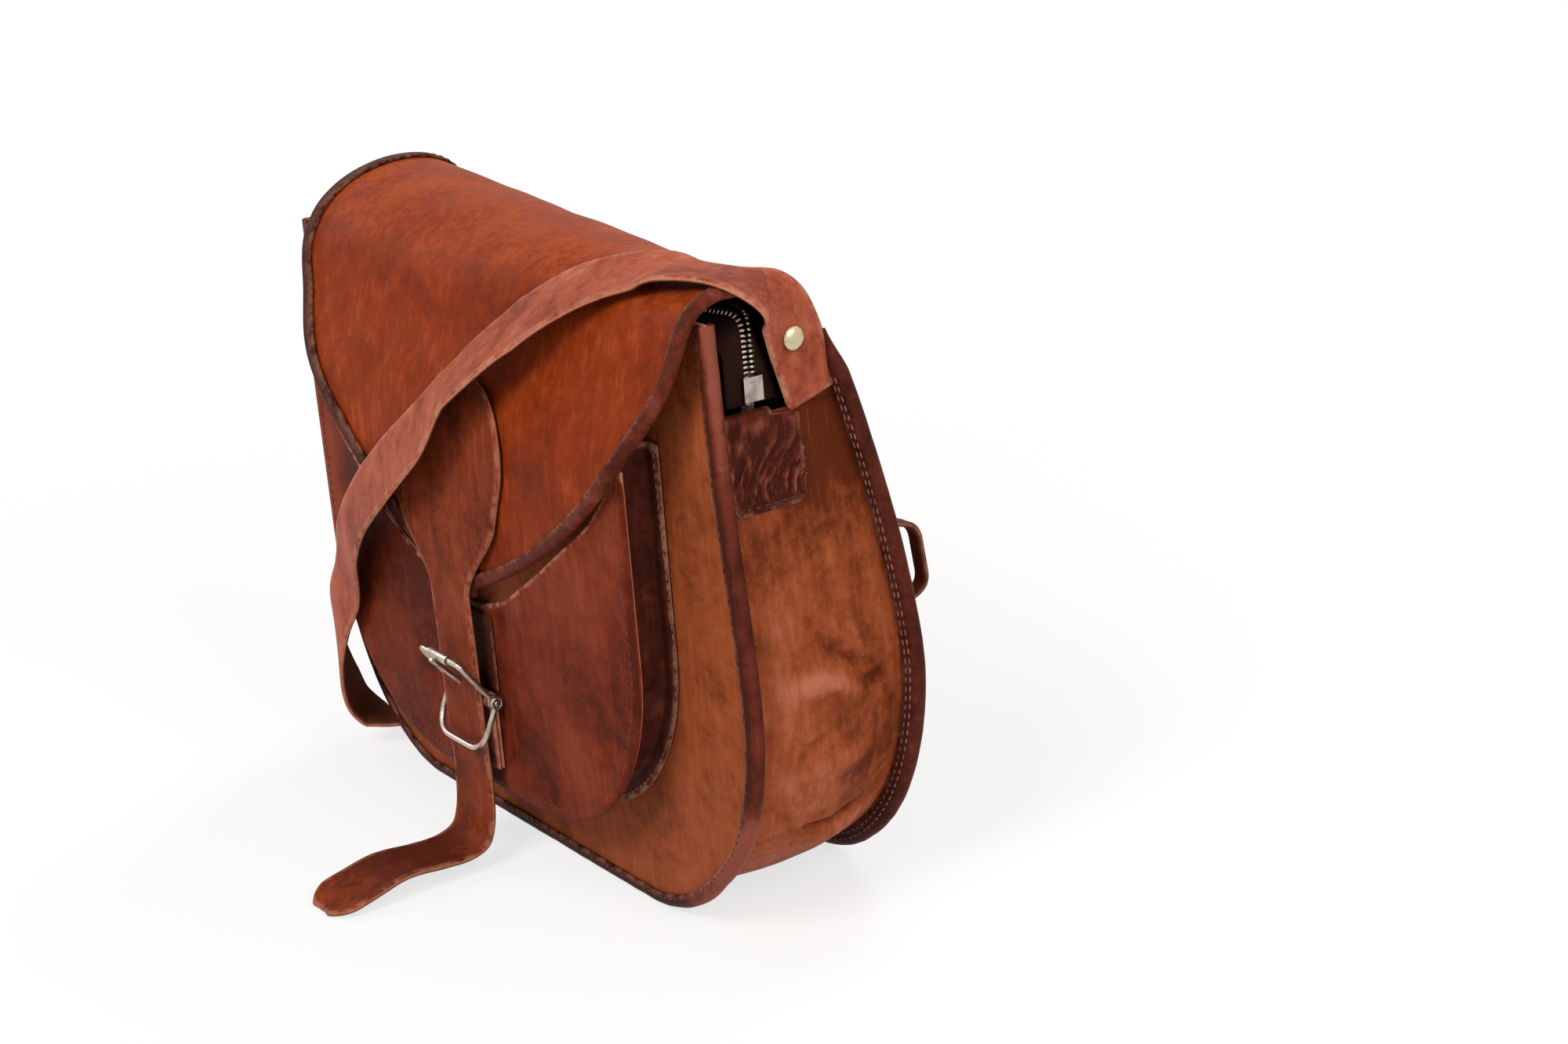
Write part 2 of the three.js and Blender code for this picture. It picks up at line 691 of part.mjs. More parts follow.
function makeClosureStrap() {
  const onFlap = [];
  const start = flapAtHeight(0, TAB_TOP_Z);
  const flapSteps = 10;
  for (let i = 0; i <= flapSteps; i++) {
    const t = i / flapSteps;
    const lift = FLAP_T + GAP + STRAP_T / 2 + (SEAM + GAP) * THREE.MathUtils.smoothstep(t, 0.4, 0.85);
    onFlap.push(flapPoint(0, THREE.MathUtils.lerp(start, 1, t), lift));
  }
  const floorZ = STRAP_T / 2 + GAP;
  const bendY = closureY - 2 * STRAP_T;
  const tail = (share, lift) => vec(0, bendY - TAIL_LENGTH * share, floorZ + TAIL_LIFT * lift);
  const free = [
    vec(0, closureY, BAR_Z + FRAME_REACH),
    vec(0, closureY, BAR_Z),
    vec(0, closureY + 0.4, BAR_Z - KEEPER_DROP),
    vec(0, closureY + 0.6, BAR_Z / 2),
    vec(0, closureY - STRAP_T / 2, BAR_Z / 4),
    tail(0, 1.5), tail(0.11, 1), tail(0.3, 0.95), tail(0.55, 1.15), tail(0.78, 0.6), tail(1, 0),
  ];
  const curve = new THREE.CatmullRomCurve3([...onFlap, ...free]);
  const steps = 60;
  const length = curve.getLength();
  const across = 5;
  const rows = Array.from({ length: steps + 1 }, (_, i) => {
    const t = i / steps;
    const point = curve.getPointAt(t);
    const along = curve.getTangentAt(t);
    const normal = vec(0, along.z, -along.y);
    const widening = THREE.MathUtils.smoothstep(point.z, FLAP_TIP_Z - SEAM, FLAP_TIP_Z + TAB_NECK);
    const lean = TAB_LEAN * THREE.MathUtils.smoothstep(point.z, FLAP_TIP_Z + TAB_NECK / 2, TAB_TOP_Z);
    const tip = Math.min(1, 0.35 + (0.65 * (1 - t) * length) / CLOSURE_HALF);
    const short = 1 - Math.min(1, (t * length) / TAB_ROUND);
    const head = Math.sqrt(1 - TAB_CROWN * short ** 2);
    const half = THREE.MathUtils.lerp(CLOSURE_HALF, TAB_HALF, widening) * tip * head;
    const xs = Array.from({ length: across }, (__, j) => lean + half * ((2 * j) / (across - 1) - 1));
    return {
      outer: xs.map((x) => point.clone().addScaledVector(normal, STRAP_T / 2).setX(x)),
      inner: xs.map((x) => point.clone().addScaledVector(normal, -STRAP_T / 2).setX(x)),
    };
  });
  const holeCentre = barCentre.clone().addScaledVector(prongAlong, (closureY - barCentre.y) / prongAlong.y);
  const holeR = PRONG_R + WIRE_CLEARANCE;
  const hole = new THREE.CylinderGeometry(holeR, holeR, 3 * STRAP_T, RING_SIDES);
  hole.scale(1, 1, PRONG_HOLE_STRETCH).translate(holeCentre.x, holeCentre.y, holeCentre.z);
  addPart('closure_strap', cut(sheet(rows), hole), 'strap');
}

// Shoulder strap: from the right ear over the crown, across the flap, down and round to the left ear

const strapEndX = webOuter + GAP + STRAP_T / 2;
const strapLift = FLAP_T + SEAM + 2 * GAP + STRAP_T / 2;

// The strap's run over the crown as (x, y), then down the flap as (x, z), both as shares of the bag's size
const STRAP_ON_CROWN = [[0.84, 0.08], [0.74, 0.05]];
const STRAP_ON_FRONT = [
  [0.6, 1.02], [0.46, 0.97], [0.3, 0.905], [0.165, 0.835], [0.03, 0.765],
  [-0.2, 0.665], [-0.385, 0.575], [-0.52, 0.49],
];

// The strap's run from the pocket round the lower left corner and up the left side, as shares
const STRAP_FREE = [
  { at: [-0.63, -0.32, 0.392], face: [-0.15, -1, 0] },
  { at: [-0.73, -0.305, 0.313], face: [-0.25, -0.95, 0] },
  { at: [-0.82, -0.25, 0.218], face: [-0.45, -0.85, 0] },
  { at: [-0.895, -0.14, 0.118], face: [-0.8, -0.6, -0.2] },
  { at: [-0.9, -0.06, 0.068], face: [-0.75, -0.2, -0.7] },
  { at: [-0.87, 0.08, 0.042], face: [-0.4, 0, -0.92] },
  { at: [-0.88, 0.3, 0.042], face: [-0.4, 0.1, -0.92] },
  { at: [-1.0, 0.47, 0.09], face: [-0.9, 0.1, -0.5] },
  { at: [-1.06, 0.53, 0.26], face: [-1, 0, 0] },
  { at: [-1.04, 0.52, 0.52], face: [-1, 0, 0] },
  { at: [-1, 0.49, 0.8], face: [-1, 0, 0] },
];

// Where along the profile the crown of the flap is at a depth
function flapAtDepth(x, y) {
  const steps = 200;
  let best = 0;
  for (let i = 0; i <= steps; i++) {
    const t = (flapShoulder * i) / steps;
    if (Math.abs(flapPoint(x, t, 0).y - y) < Math.abs(flapPoint(x, best, 0).y - y)) {
      best = t;
    }
  }
  return best;
}

function shoulderStations() {
  const outward = vec(1, 0, 0);
  const edgeX = FLAP_HALF + SEAM + STRAP_T;
  const overCrown = CROWN_RIGHT_Z + strapLift;
  const stations = [
    { point: vec(strapEndX, EAR_Y + STRAP_END / 7, RIVET_Z - STRAP_END), normal: outward },
    { point: vec(strapEndX, EAR_Y, RIVET_Z), normal: outward },
    { point: vec(strapEndX + GAP, EAR_Y - RIVET_CAP_R / 2, RIVET_Z + RIVET_CAP_R + SEAM), normal: outward },
    { point: vec(edgeX - GAP, EAR_Y - 2 * RIVET_CAP_R, RIVET_Z + 3 * RIVET_CAP_R), normal: outward },
    { point: vec(edgeX, EAR_Y - SHOULDER_HALF, CROWN_RIGHT_Z), normal: vec(0.95, 0, 0.3) },
    { point: vec(edgeX - STRAP_T, EAR_Y - SHOULDER_HALF - SEAM - STRAP_T, overCrown), normal: vec(0.55, 0, 0.83) },
    { point: vec(edgeX - SHOULDER_HALF / 2, EAR_Y - STRAP_END, overCrown + SEAM), normal: vec(0.1, 0, 1) },
  ];
  const onFlap = [
    ...STRAP_ON_CROWN.map(([x, y]) => ({ x: x * PANEL_HALF_LOW, t: flapAtDepth(x * PANEL_HALF_LOW, y * BAG_DEPTH) })),
    ...STRAP_ON_FRONT.map(([x, z]) => ({ x: x * PANEL_HALF_LOW, t: flapAtHeight(x * PANEL_HALF_LOW, z * PANEL_TOP) })),
  ];
  for (const { x, t } of onFlap) {
    const tab = Math.max(0, 1 - Math.abs(x) / (TAB_HALF + 3 * SHOULDER_HALF));
    const lift = strapLift + (STRAP_T + GAP) * THREE.MathUtils.smoothstep(tab, 0, 0.35);
    stations.push({ point: flapPoint(x, t, lift), normal: flapNormal(x, t) });
  }
  for (const { at, face } of STRAP_FREE) {
    const point = vec(at[0] * PANEL_HALF_LOW, at[1] * BAG_DEPTH, at[2] * PANEL_TOP);
    stations.push({ point, normal: vec(...face) });
  }
  for (const [rise, out] of [[-STRAP_END / 2, STRAP_T / 2], [0, 0], [STRAP_END / 2, 0]]) {
    stations.push({ point: vec(-strapEndX - out, EAR_Y, RIVET_Z + rise), normal: vec(-1, 0, 0) });
  }
  return stations;
}

function makeShoulderStrap() {
  const stations = shoulderStations();
  const route = new THREE.CatmullRomCurve3(stations.map((s) => s.point));
  const turn = new THREE.CatmullRomCurve3(stations.map((s) => s.normal));
  const steps = 110;
  const points = [];
  const normals = [];
  for (let i = 0; i <= steps; i++) {
    const t = i / steps;
    const along = route.getTangent(t);
    const normal = turn.getPoint(t);
    points.push(route.getPoint(t));
    normals.push(normal.addScaledVector(along, -normal.dot(along)).normalize());
  }
  const ends = (i) => Math.min(1, 0.8 + 0.1 * Math.min(i, steps - i));
  const band = sweep(points, normals, rectangle(SHOULDER_HALF, STRAP_T), ends);
  const holes = [1, -1].map((side) => (
    cylinderX(RIVET_POST_R + RIVET_CLEARANCE, 3 * FLANGE, vec(side * strapEndX, EAR_Y, RIVET_Z))));
  addPart('shoulder_strap', cut(band, ...holes), 'strap');
}

function makeRivets() {
  const capFace = webOuter + 2 * GAP + STRAP_T;
  const burrFace = webOuter - GUSSET_T - GAP;
  const burrT = 1.2;
  const postEnd = burrFace - burrT - GAP;
  const dome = Array.from({ length: 7 }, (_, i) => {
    const angle = ((Math.PI / 2) * i) / 6;
    return [RIVET_CAP_R * Math.cos(angle), RIVET_CAP_H * (0.25 + 0.75 * Math.sin(angle))];
  });
  dome[dome.length - 1][0] = 0;
  const post = [[0, postEnd - capFace], [RIVET_POST_R, postEnd - capFace], [RIVET_POST_R, 0]];
  const profile = [...post, [RIVET_CAP_R, 0], ...dome];
  const bore = RIVET_POST_R + RIVET_CLEARANCE;
  const washer = [[bore, -burrT], [RIVET_CAP_R, -burrT], [RIVET_CAP_R, 0], [bore, 0], [bore, -burrT]];
  for (const [name, side] of [['right', 1], ['left', -1]]) {
    addPart(`strap_rivet_${name}`, turnedX(profile, vec(side * capFace, EAR_Y, RIVET_Z), side), 'brass');
    addPart(`rivet_burr_${name}`, turnedX(washer, vec(side * burrFace, EAR_Y, RIVET_Z), side), 'brass');
  }
}

// Zip: two tapes along the mouth that meet at both ends, with a row of teeth on each

const innerLegX = webOuter - GUSSET_T - GAP - TAB_T;
const zipX = innerLegX - GAP - TAPE_T / 2;

// The toothed edge and the sewn edge of one tape, from the right end to the left end
function zipEdges(way, sewnY, sewnZ, edgeY, edgeZ) {
  const nearY = ZIP_Y + way * (TOOTH_R + GAP);
  const outerY = ZIP_Y + way * TAPE_W;
  const runX = zipX - ZIP_TURN;
  const closed = (side, y) => vec(side * zipX, y, zipBottom);
  const edge = (side) => [closed(side, nearY), vec(side * zipX, nearY, edgeZ), vec(side * runX, edgeY, edgeZ)];
  const sewn = (side) => [
    closed(side, outerY), vec(side * zipX, outerY, sewnZ), vec(side * runX, sewnY(side * runX), sewnZ),
  ];
  return [edge, sewn].map((half) => roundCorners([...half(1), ...half(-1).reverse()], ZIP_CORNER, 6));
}

// Points at equal steps along a broken line
function spacedPoints(points, count) {
  const path = new THREE.CurvePath();
  for (let i = 1; i < points.length; i++) {
    path.add(new THREE.LineCurve3(points[i - 1], points[i]));
  }
  return path.getSpacedPoints(count);
}

function zipSide(name, way, sewnY, sewnZ, edgeY, edgeZ) {
  const [edge, sewn] = zipEdges(way, sewnY, sewnZ, edgeY, edgeZ);
  const rows = edge.map((inside, i) => {
    const across = sewn[i].clone().sub(inside).normalize();
    const normal = pathTangent(edge, i).cross(across).normalize();
    const start = inside.clone().addScaledVector(across, TOOTH_R + 4 * GAP);
    return {
      outer: [start, sewn[i]].map((p) => p.clone().addScaledVector(normal, TAPE_T / 2)),
      inner: [start, sewn[i]].map((p) => p.clone().addScaledVector(normal, -TAPE_T / 2)),
    };
  });
  addPart(`zip_tape_${name}`, sheet(rows), 'tape');

  const points = spacedPoints(edge, 4 * ZIP_TEETH);
  const normals = points.map((p, i) => {
    const along = pathTangent(points, i);
    const up = vec(0, 1, 0);
    return up.addScaledVector(along, -up.dot(along)).normalize();
  });
  const toothed = (i) => (i % 4 < 2 ? 1 : 0.55);
  addPart(`zip_teeth_${name}`, sweep(points, normals, rectangle(TOOTH_R, TOOTH_R), toothed), 'brass');
}

function makeZip() {
  const frontPanelY = PANEL_T + GAP + TAPE_T / 2;
  zipSide('front', -1, () => frontPanelY, PANEL_TOP - TAPE_W, frontPanelY + TAPE_W, PANEL_TOP - GUSSET_T);
  const backZ = HINGE_Z - TAPE_W / 2;
  const backSewnY = (x) => backFace(x, backZ) - PANEL_T - GAP - TAPE_T / 2;
  zipSide('back', 1, backSewnY, backZ, BAG_DEPTH / 2, PANEL_TOP - 2 * BINDING_T);

  const sliderZ = zipBottom + SLIDER_LENGTH / 2 + 1;
  const plateX = TOOTH_R + GAP + SLIDER_PLATE / 2;
  const plateSize = vec(SLIDER_PLATE, 2 * SLIDER_HALF_WIDTH, SLIDER_LENGTH);
  const plates = [1, -1].map((side) => boxAt(plateSize, vec(zipX + side * plateX, ZIP_Y, sliderZ)));
  const post = boxAt(vec(2 * plateX, 1.4 * GAP, SLIDER_LENGTH / 2), vec(zipX, ZIP_Y, sliderZ));
  // The bridge on the slider's inner plate, and the pull that hangs on it by its top bar
  const face = zipX - plateX - SLIDER_PLATE / 2;
  const bridgeZ = sliderZ + SLIDER_LENGTH / 4;
  const bridge = boxAt(vec(PULL_T, BRIDGE_WIDTH, 6.4), vec(face - 2 * PULL_T, ZIP_Y, bridgeZ));
  const feet = [2.7, -2.7].map((dz) => (
    boxAt(vec(2 * PULL_T, BRIDGE_WIDTH, 1), vec(face - PULL_T, ZIP_Y, bridgeZ + dz))));
  addPart('zip_slider', join(...plates, post, bridge, ...feet), 'nickel');

  const pullX = face - 0.75 * PULL_T;
  const topBar = 0.5;
  const blade = boxAt(
    vec(PULL_T, 2 * PULL_HALF_WIDTH, PULL_LENGTH),
    vec(pullX, ZIP_Y, bridgeZ + topBar - PULL_LENGTH / 2),
  );
  const window = boxAt(
    vec(4 * PULL_T, 2 * PULL_HALF_WIDTH - 2.6, 7),
    vec(pullX, ZIP_Y, bridgeZ - topBar - 3.5),
  );
  addPart('zip_pull', cut(blade, window), 'nickel');
}

// Leather tabs that fold over the gusset's top edge and hold the ends of the zip

function makeEndTabs() {
  const outerX = webOuter + GAP + TAB_T / 2;
  const innerX = webOuter - GUSSET_T - GAP - TAB_T / 2;
  const topZ = GUSSET_TOP + GAP + TAB_T / 2;
  const centreY = END_TAB_FRONT_Y + END_TAB_WIDTH / 2;
  const foldY = EAR_Y - EAR_WIDTH / 2 - BINDING_T - END_TAB_INNER_WIDTH / 2;
  for (const [name, side] of [['right', 1], ['left', -1]]) {
    const lean = halfWidth(PANEL, GUSSET_TOP - END_TAB_DROP) - halfWidth(PANEL, GUSSET_TOP);
    const corners = [
      vec(side * (outerX + lean), foldY, GUSSET_TOP - END_TAB_DROP),
      vec(side * outerX, foldY, topZ),
      vec(side * innerX, foldY, topZ),
      vec(side * innerX, foldY, topZ - END_TAB_INNER),
    ];
    const band = rectangle(END_TAB_INNER_WIDTH / 2, TAB_T);
    const fold = sweep(corners, corners.map((_, i) => {
      const along = pathTangent(corners, i);
      return vec(-along.z, 0, along.x);
    }), band);
    const height = END_TAB_DROP - TAB_T;
    const legCentre = vec(side * (outerX + lean), centreY, GUSSET_TOP - TAB_T - height / 2);
    const leg = boxAt(vec(TAB_T, END_TAB_WIDTH, height), legCentre);
    addPart(`zip_end_tab_${name}`, join(fold, leg), 'binding');
  }
}

// Bowed leather loops behind the back

function makeBackLoops() {
  const low = LOOP_Z - LOOP_HEIGHT / 2;
  const high = LOOP_Z + LOOP_HEIGHT / 2;
  for (const [name, side] of [['right', 1], ['left', -1]]) {
    const onBack = (z) => vec(side * LOOP_X, backFace(side * LOOP_X, z) + 2 * GAP + LOOP_T / 2, z);
    const bow = (z) => onBack(z).add(vec(0, LOOP_STANDOFF, 0));
    const points = roundCorners([
      onBack(low - LOOP_FOOT), onBack(low), bow(low + LOOP_SLANT), bow(high - LOOP_SLANT),
      onBack(high), onBack(high + LOOP_FOOT),
    ], LOOP_BEND, 6);
    const normals = points.map((_, i) => {
      const along = pathTangent(points, i);
      return vec(0, along.z, -along.y);
    });
    addPart(`back_loop_${name}`, sweep(points, normals, rectangle(LOOP_HALF_WIDTH, LOOP_T)), 'strap');
  }
}

makePanels();
makeGusset();
makeBindings();
makeFlap();
makeFlapBinding();
makePocket();
makeChape();
makeBuckleFrame();
makeBuckleKeeper();
makeBuckleProng();
makeClosureStrap();
makeShoulderStrap();
makeRivets();
makeZip();
makeEndTabs();
makeBackLoops();

export default bag;
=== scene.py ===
"""Leather satchel: the visible pieces of the bag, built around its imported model."""

import math

import bmesh
import bpy
import numpy as np
from bpy.props import FloatProperty, FloatVectorProperty, IntProperty, PointerProperty
from mathutils import Matrix, Vector, noise


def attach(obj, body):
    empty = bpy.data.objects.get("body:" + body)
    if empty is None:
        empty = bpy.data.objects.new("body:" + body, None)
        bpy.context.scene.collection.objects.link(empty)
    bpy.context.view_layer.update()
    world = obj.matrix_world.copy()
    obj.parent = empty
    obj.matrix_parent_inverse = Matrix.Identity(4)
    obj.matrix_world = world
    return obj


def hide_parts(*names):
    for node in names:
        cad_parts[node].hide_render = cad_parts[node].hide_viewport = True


bl_info = {
    "name": "Leather satchel",
    "version": (1, 0, 0),
    "blender": (4, 5, 0),
    "location": "3D View > Sidebar > Satchel",
    "description": "Builds the leather, thread and metal of a satchel around its packed model",
    "category": "Add Mesh",
}

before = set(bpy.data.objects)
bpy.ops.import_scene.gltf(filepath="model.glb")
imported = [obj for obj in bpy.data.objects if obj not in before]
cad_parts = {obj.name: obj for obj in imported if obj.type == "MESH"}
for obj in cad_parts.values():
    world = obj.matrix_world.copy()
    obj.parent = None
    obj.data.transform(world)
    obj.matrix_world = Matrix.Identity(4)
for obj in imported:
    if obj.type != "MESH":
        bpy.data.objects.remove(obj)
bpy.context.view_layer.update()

MM = 0.001


# Sizes and colours that a user may change


def length(label, note, millimetres):
    """A length property with its default in millimetres."""
    return FloatProperty(name=label, description=note, default=millimetres * MM, unit="LENGTH", precision=5)


def share(label, note, value):
    """A plain number property."""
    return FloatProperty(name=label, description=note, default=value, precision=4)


def tone(label, note, red, green, blue):
    """A colour property, given as display values from 0 to 255 and kept as linear ones."""
    linear = [(c / 255 / 12.92) if c < 11 else ((c / 255 + 0.055) / 1.055) ** 2.4 for c in (red, green, blue)]
    return FloatVectorProperty(name=label, description=note, default=linear, size=3, subtype="COLOR",
                               min=0, max=1)


class SatchelBody(bpy.types.PropertyGroup):
    """Panels, gusset and bound edges"""

    gap: length("Gap", "Room between pieces that are sewn face to face", 0.3)
    panel_t: length("Panel leather", "Thickness of the front and back panels", 2.2)
    gusset_t: length("Gusset leather", "Thickness of the gusset", 1.8)
    binding_t: length("Binding leather", "Thickness of the folded edge strip", 1.5)
    top: length("Panel top", "Height of the front panel", 291)
    half_top: length("Half width at the top", "Half of the front panel's width at its top", 184)
    half_low: length("Half width low down", "Half of the front panel's width above the corners", 192)
    corner_x: length("Corner width", "Width of the rounded lower corners", 90)
    corner_z: length("Corner height", "Height of the rounded lower corners", 118)
    depth: length("Depth", "Depth of the bag at the floor", 98)
    lean_right: length("Lean at the right", "How far the back leans forward at its right end", 29)
    lean_left: length("Lean at the left", "How far the back leans forward at its left end", 3)
    lean_from: length("Lean starts", "Height where the back starts to lean", 115)
    lean_power: share("Lean power", "How suddenly the back leans", 1.6)
    hinge_z: length("Flap seam", "Height where the flap leaves the back", 262)
    back_horn: length("Back horn", "How far the back's right edge stands above the flap seam", 15)
    front_bow: length("Front bow", "How far the front's right edge bows out", 5)
    flange: length("Flange", "Width of the edges turned out at the seams", 9)
    leg: length("Back binding leg", "Width of the back's folded strip on each face", 8.4)
    slim_leg: length("Slim binding leg", "Width of the front's and flap's folded strip on each face", 5.2)
    gusset_top: length("Gusset top", "Height of the gusset's top edge", 246)
    slump: length("Slump", "How far the gusset swells out low down", 6.5)
    ear_y: length("Ear place", "Depth of the ears that carry the strap", 47)
    ear_width: length("Ear width", "Width of an ear", 24)
    ear_rise: length("Ear rise", "How far an ear stands above the gusset", 38)


class SatchelFlap(bpy.types.PropertyGroup):
    """Flap and its closure strap"""

    thickness: length("Leather", "Thickness of the flap", 2.4)
    half: length("Half width", "Half of the flap's width at the front", 182)
    half_back: length("Half width at the seam", "Half of the flap's width at the back", 172)
    left_share: share("Left share", "Width of the left half at the front", 0.88)
    left_power: share("Left power", "How late the left half narrows", 3)
    crown_right_y: length("Right crown depth", "Depth of the crown at the right", 14)
    crown_right_z: length("Right crown height", "Height of the crown at the right", 300)
    crown_left_y: length("Left crown depth", "Depth of the crown at the left", 50)
    crown_left_z: length("Left crown height", "Height of the crown at the left", 314)
    front_y: length("Front fold", "Depth of the flap where it turns down", -6)
    tip_z: length("Tip", "Height of the flap's tip", 140)
    tip_half: length("Tip half width", "Half of the flap's width at its tip", 15)
    taper: share("Taper", "How the flap narrows to its tip", 1.8)
    rounding: share("Rounding", "How round the flap's outline is", 1.2)
    setback: length("Binding setback", "How far the binding starts from the seam", 14)
    strap_t: length("Strap leather", "Thickness of the straps", 2.6)
    tab_half: length("Tab half width", "Half of the closure tab's width", 45)
    closure_half: length("Closure half width", "Half of the closure strap's width", 17)
    tab_top: length("Tab top", "Height of the closure tab's top", 246)
    tab_round: length("Tab rounding", "Height of the tab's rounded top", 50)
    tab_lean: length("Tab lean", "How far the tab leans to the right", 22)
    tab_neck: length("Tab neck", "Height over which the tab narrows to a strap", 42)
    tail: length("Tail", "Reach of the tail on the floor", 82)
    tail_lift: length("Tail lift", "How far the tail waves off the floor", 7.5)


class SatchelPocket(bpy.types.PropertyGroup):
    """Front pocket"""

    depth: length("Depth", "Depth of the pocket", 25)
    half: length("Half width", "Half of the pocket's width", 146)
    bottom: length("Bottom", "Height of the pocket's bottom edge", 36)
    side_top: length("Side top", "Height of the pocket's sides", 216)
    corner_x: length("Corner width", "Width of the rounded lower corners", 95)
    corner_z: length("Corner height", "Height of the rounded lower corners", 100)
    flange: length("Flange", "Width of the sewn flange", 8)
    inset: length("Flange inset", "How far the flange is set in from the edge", 4)
    mouth: length("Mouth", "Height of the mouth in the middle", 131)
    mouth_slope: share("Mouth slope", "How steeply the mouth rises to the sides", 0.8)
    mouth_round: length("Mouth round", "Rounding of the mouth's middle", 46)
    puff: length("Puff", "How far the pocket's front swells", 1.6)


class SatchelFittings(bpy.types.PropertyGroup):
    """Straps, buckle, zip, loops and stitches"""

    strap_half: length("Strap half width", "Half of the shoulder strap's width", 16)
    rivet_z: length("Rivet height", "Height of the strap rivets", 276)
    strap_end: length("Strap end", "How far the strap goes on below the rivet", 26)
    strap_tilt: FloatProperty(name="Strap tilt", default=math.radians(20), subtype="ANGLE",
                              description="How far the strap's lower edge lifts off the flap")
    bar_z: length("Bar height", "Height of the buckle's bar", 86)
    bar_r: length("Bar radius", "Radius of the buckle's bar", 1.6)
    wire_clearance: length("Wire clearance", "Room round the buckle's wires", 0.3)
    frame_reach: length("Frame reach", "From the bar to the roller", 28)
    keeper_drop: length("Keeper drop", "From the bar to the keeper's lower edge", 25)
    chape_t: length("Chape leather", "Thickness of the folded chape", 2)
    chape_foot: length("Chape foot", "Height of the chape's sewn end", 50)
    tape_t: length("Tape thickness", "Thickness of the zip tape", 1.2)
    tape_w: length("Tape width", "Width of the zip tape", 13)
    zip_y: length("Zip depth", "Depth of the closed end of the zip", 29)
    zip_rise: length("Zip rise", "Height of the zip's end above the gusset", 4)
    zip_turn: length("Zip turn", "Where the zip turns along the mouth", 46)
    zip_corner: length("Zip corner", "Rounding of the zip's turn", 9)
    tooth: length("Tooth", "Half width of a zip tooth", 1.3)
    tooth_pitch: length("Tooth pitch", "Distance between zip teeth", 2.3)
    end_tab_t: length("End tab leather", "Thickness of the zip's end tabs", 1.8)
    end_tab_drop: length("End tab drop", "How far an end tab hangs on the gusset", 42)
    loop_x: length("Loop place", "Distance of the back loops from the middle", 166)
    loop_z: length("Loop height", "Height of the back loops' middle", 157)
    loop_tall: length("Loop length", "Height of the bowed part of a loop", 46)
    loop_out: length("Loop standoff", "How far a loop stands off the back", 23)
    loop_half: length("Loop half width", "Half of a loop's width", 3.4)
    loop_t: length("Loop leather", "Thickness of a loop", 2.8)
    stitch_pitch: length("Stitch pitch", "Distance between stitches", 4.6)
    stitch_long: length("Stitch length", "Length of one stitch", 3.3)
    stitch_wide: length("Stitch width", "Width of the thread", 0.85)
    stitch_sides: IntProperty(name="Stitch sides", description="Facets round a stitch", default=6,
                              min=3, max=16)


LEATHER_TONES = {
    "flap": ("Flap", (166, 74, 36), (127, 47, 15), (96, 32, 10)),
    "gusset": ("Gusset", (176, 108, 84), (144, 71, 39), (70, 25, 11)),
    "panel": ("Panel", (164, 92, 58), (142, 71, 39), (98, 44, 21)),
    "pocket": ("Pocket", (136, 62, 40), (108, 42, 24), (66, 24, 15)),
    "binding": ("Binding", (112, 58, 44), (76, 33, 25), (46, 19, 15)),
    "roll": ("Front binding", (138, 76, 60), (94, 40, 28), (54, 22, 16)),
    "tail": ("Closure", (150, 74, 44), (120, 50, 26), (72, 27, 15)),
    "strap": ("Strap", (188, 122, 100), (158, 80, 58), (110, 48, 33)),
}


class SatchelTones(bpy.types.PropertyGroup):
    """Colours of the leather, thread and metal"""

    raw_edge: tone("Raw edge", "Cut edges of the leather", 182, 126, 102)
    inside: tone("Inside", "Flesh side of the leather", 84, 44, 28)
    thread: tone("Pale thread", "Waxed thread on the seams", 128, 92, 78)
    dark_thread: tone("Dark thread", "Thread on the flap", 78, 38, 28)
    tape: tone("Tape", "Cloth of the zip", 38, 20, 14)
    teeth: tone("Teeth", "Cast teeth of the zip", 190, 176, 160)
    nickel: tone("Nickel", "Wire of the buckle", 186, 172, 162)
    brass: tone("Brass", "Dome rivets", 204, 188, 156)
    floor: tone("Floor", "Floor of the stage", 246, 245, 243)


# Besides rubbed and darker places, the light tone also takes the painted highlights and sheen, and the dark
# tone the painted shade, that the meshes carry
TONE_NOTES = {"light": "Rubbed places", "base": "Main colour", "dark": "Darker places"}
for family, (label, *shades) in LEATHER_TONES.items():
    for (key, note), shade in zip(TONE_NOTES.items(), shades):
        SatchelTones.__annotations__["%s_%s" % (family, key)] = tone(
            "%s %s" % (label, key), "%s of this leather" % note, *shade)


GROUPS = {
    "satchel_body": SatchelBody,
    "satchel_flap": SatchelFlap,
    "satchel_pocket": SatchelPocket,
    "satchel_fittings": SatchelFittings,
    "satchel_tones": SatchelTones,
}


def sizes():
    """Body, flap, pocket and fitting sizes of the scene."""
    scene = bpy.context.scene
    return scene.satchel_body, scene.satchel_flap, scene.satchel_pocket, scene.satchel_fittings


# Numbers


def lerp(a, b, t):
    """Between a and b."""
    return a + (b - a) * t


def ease(x, low, high):
    """Smooth step from 0 at low to 1 at high."""
    t = np.clip((np.asarray(x, float) - low) / (high - low), 0, 1)
    return t * t * (3 - 2 * t)


def unit(v):
    """Vectors of length 1."""
    return v / np.maximum(np.linalg.norm(v, axis=-1, keepdims=True), 1e-12)


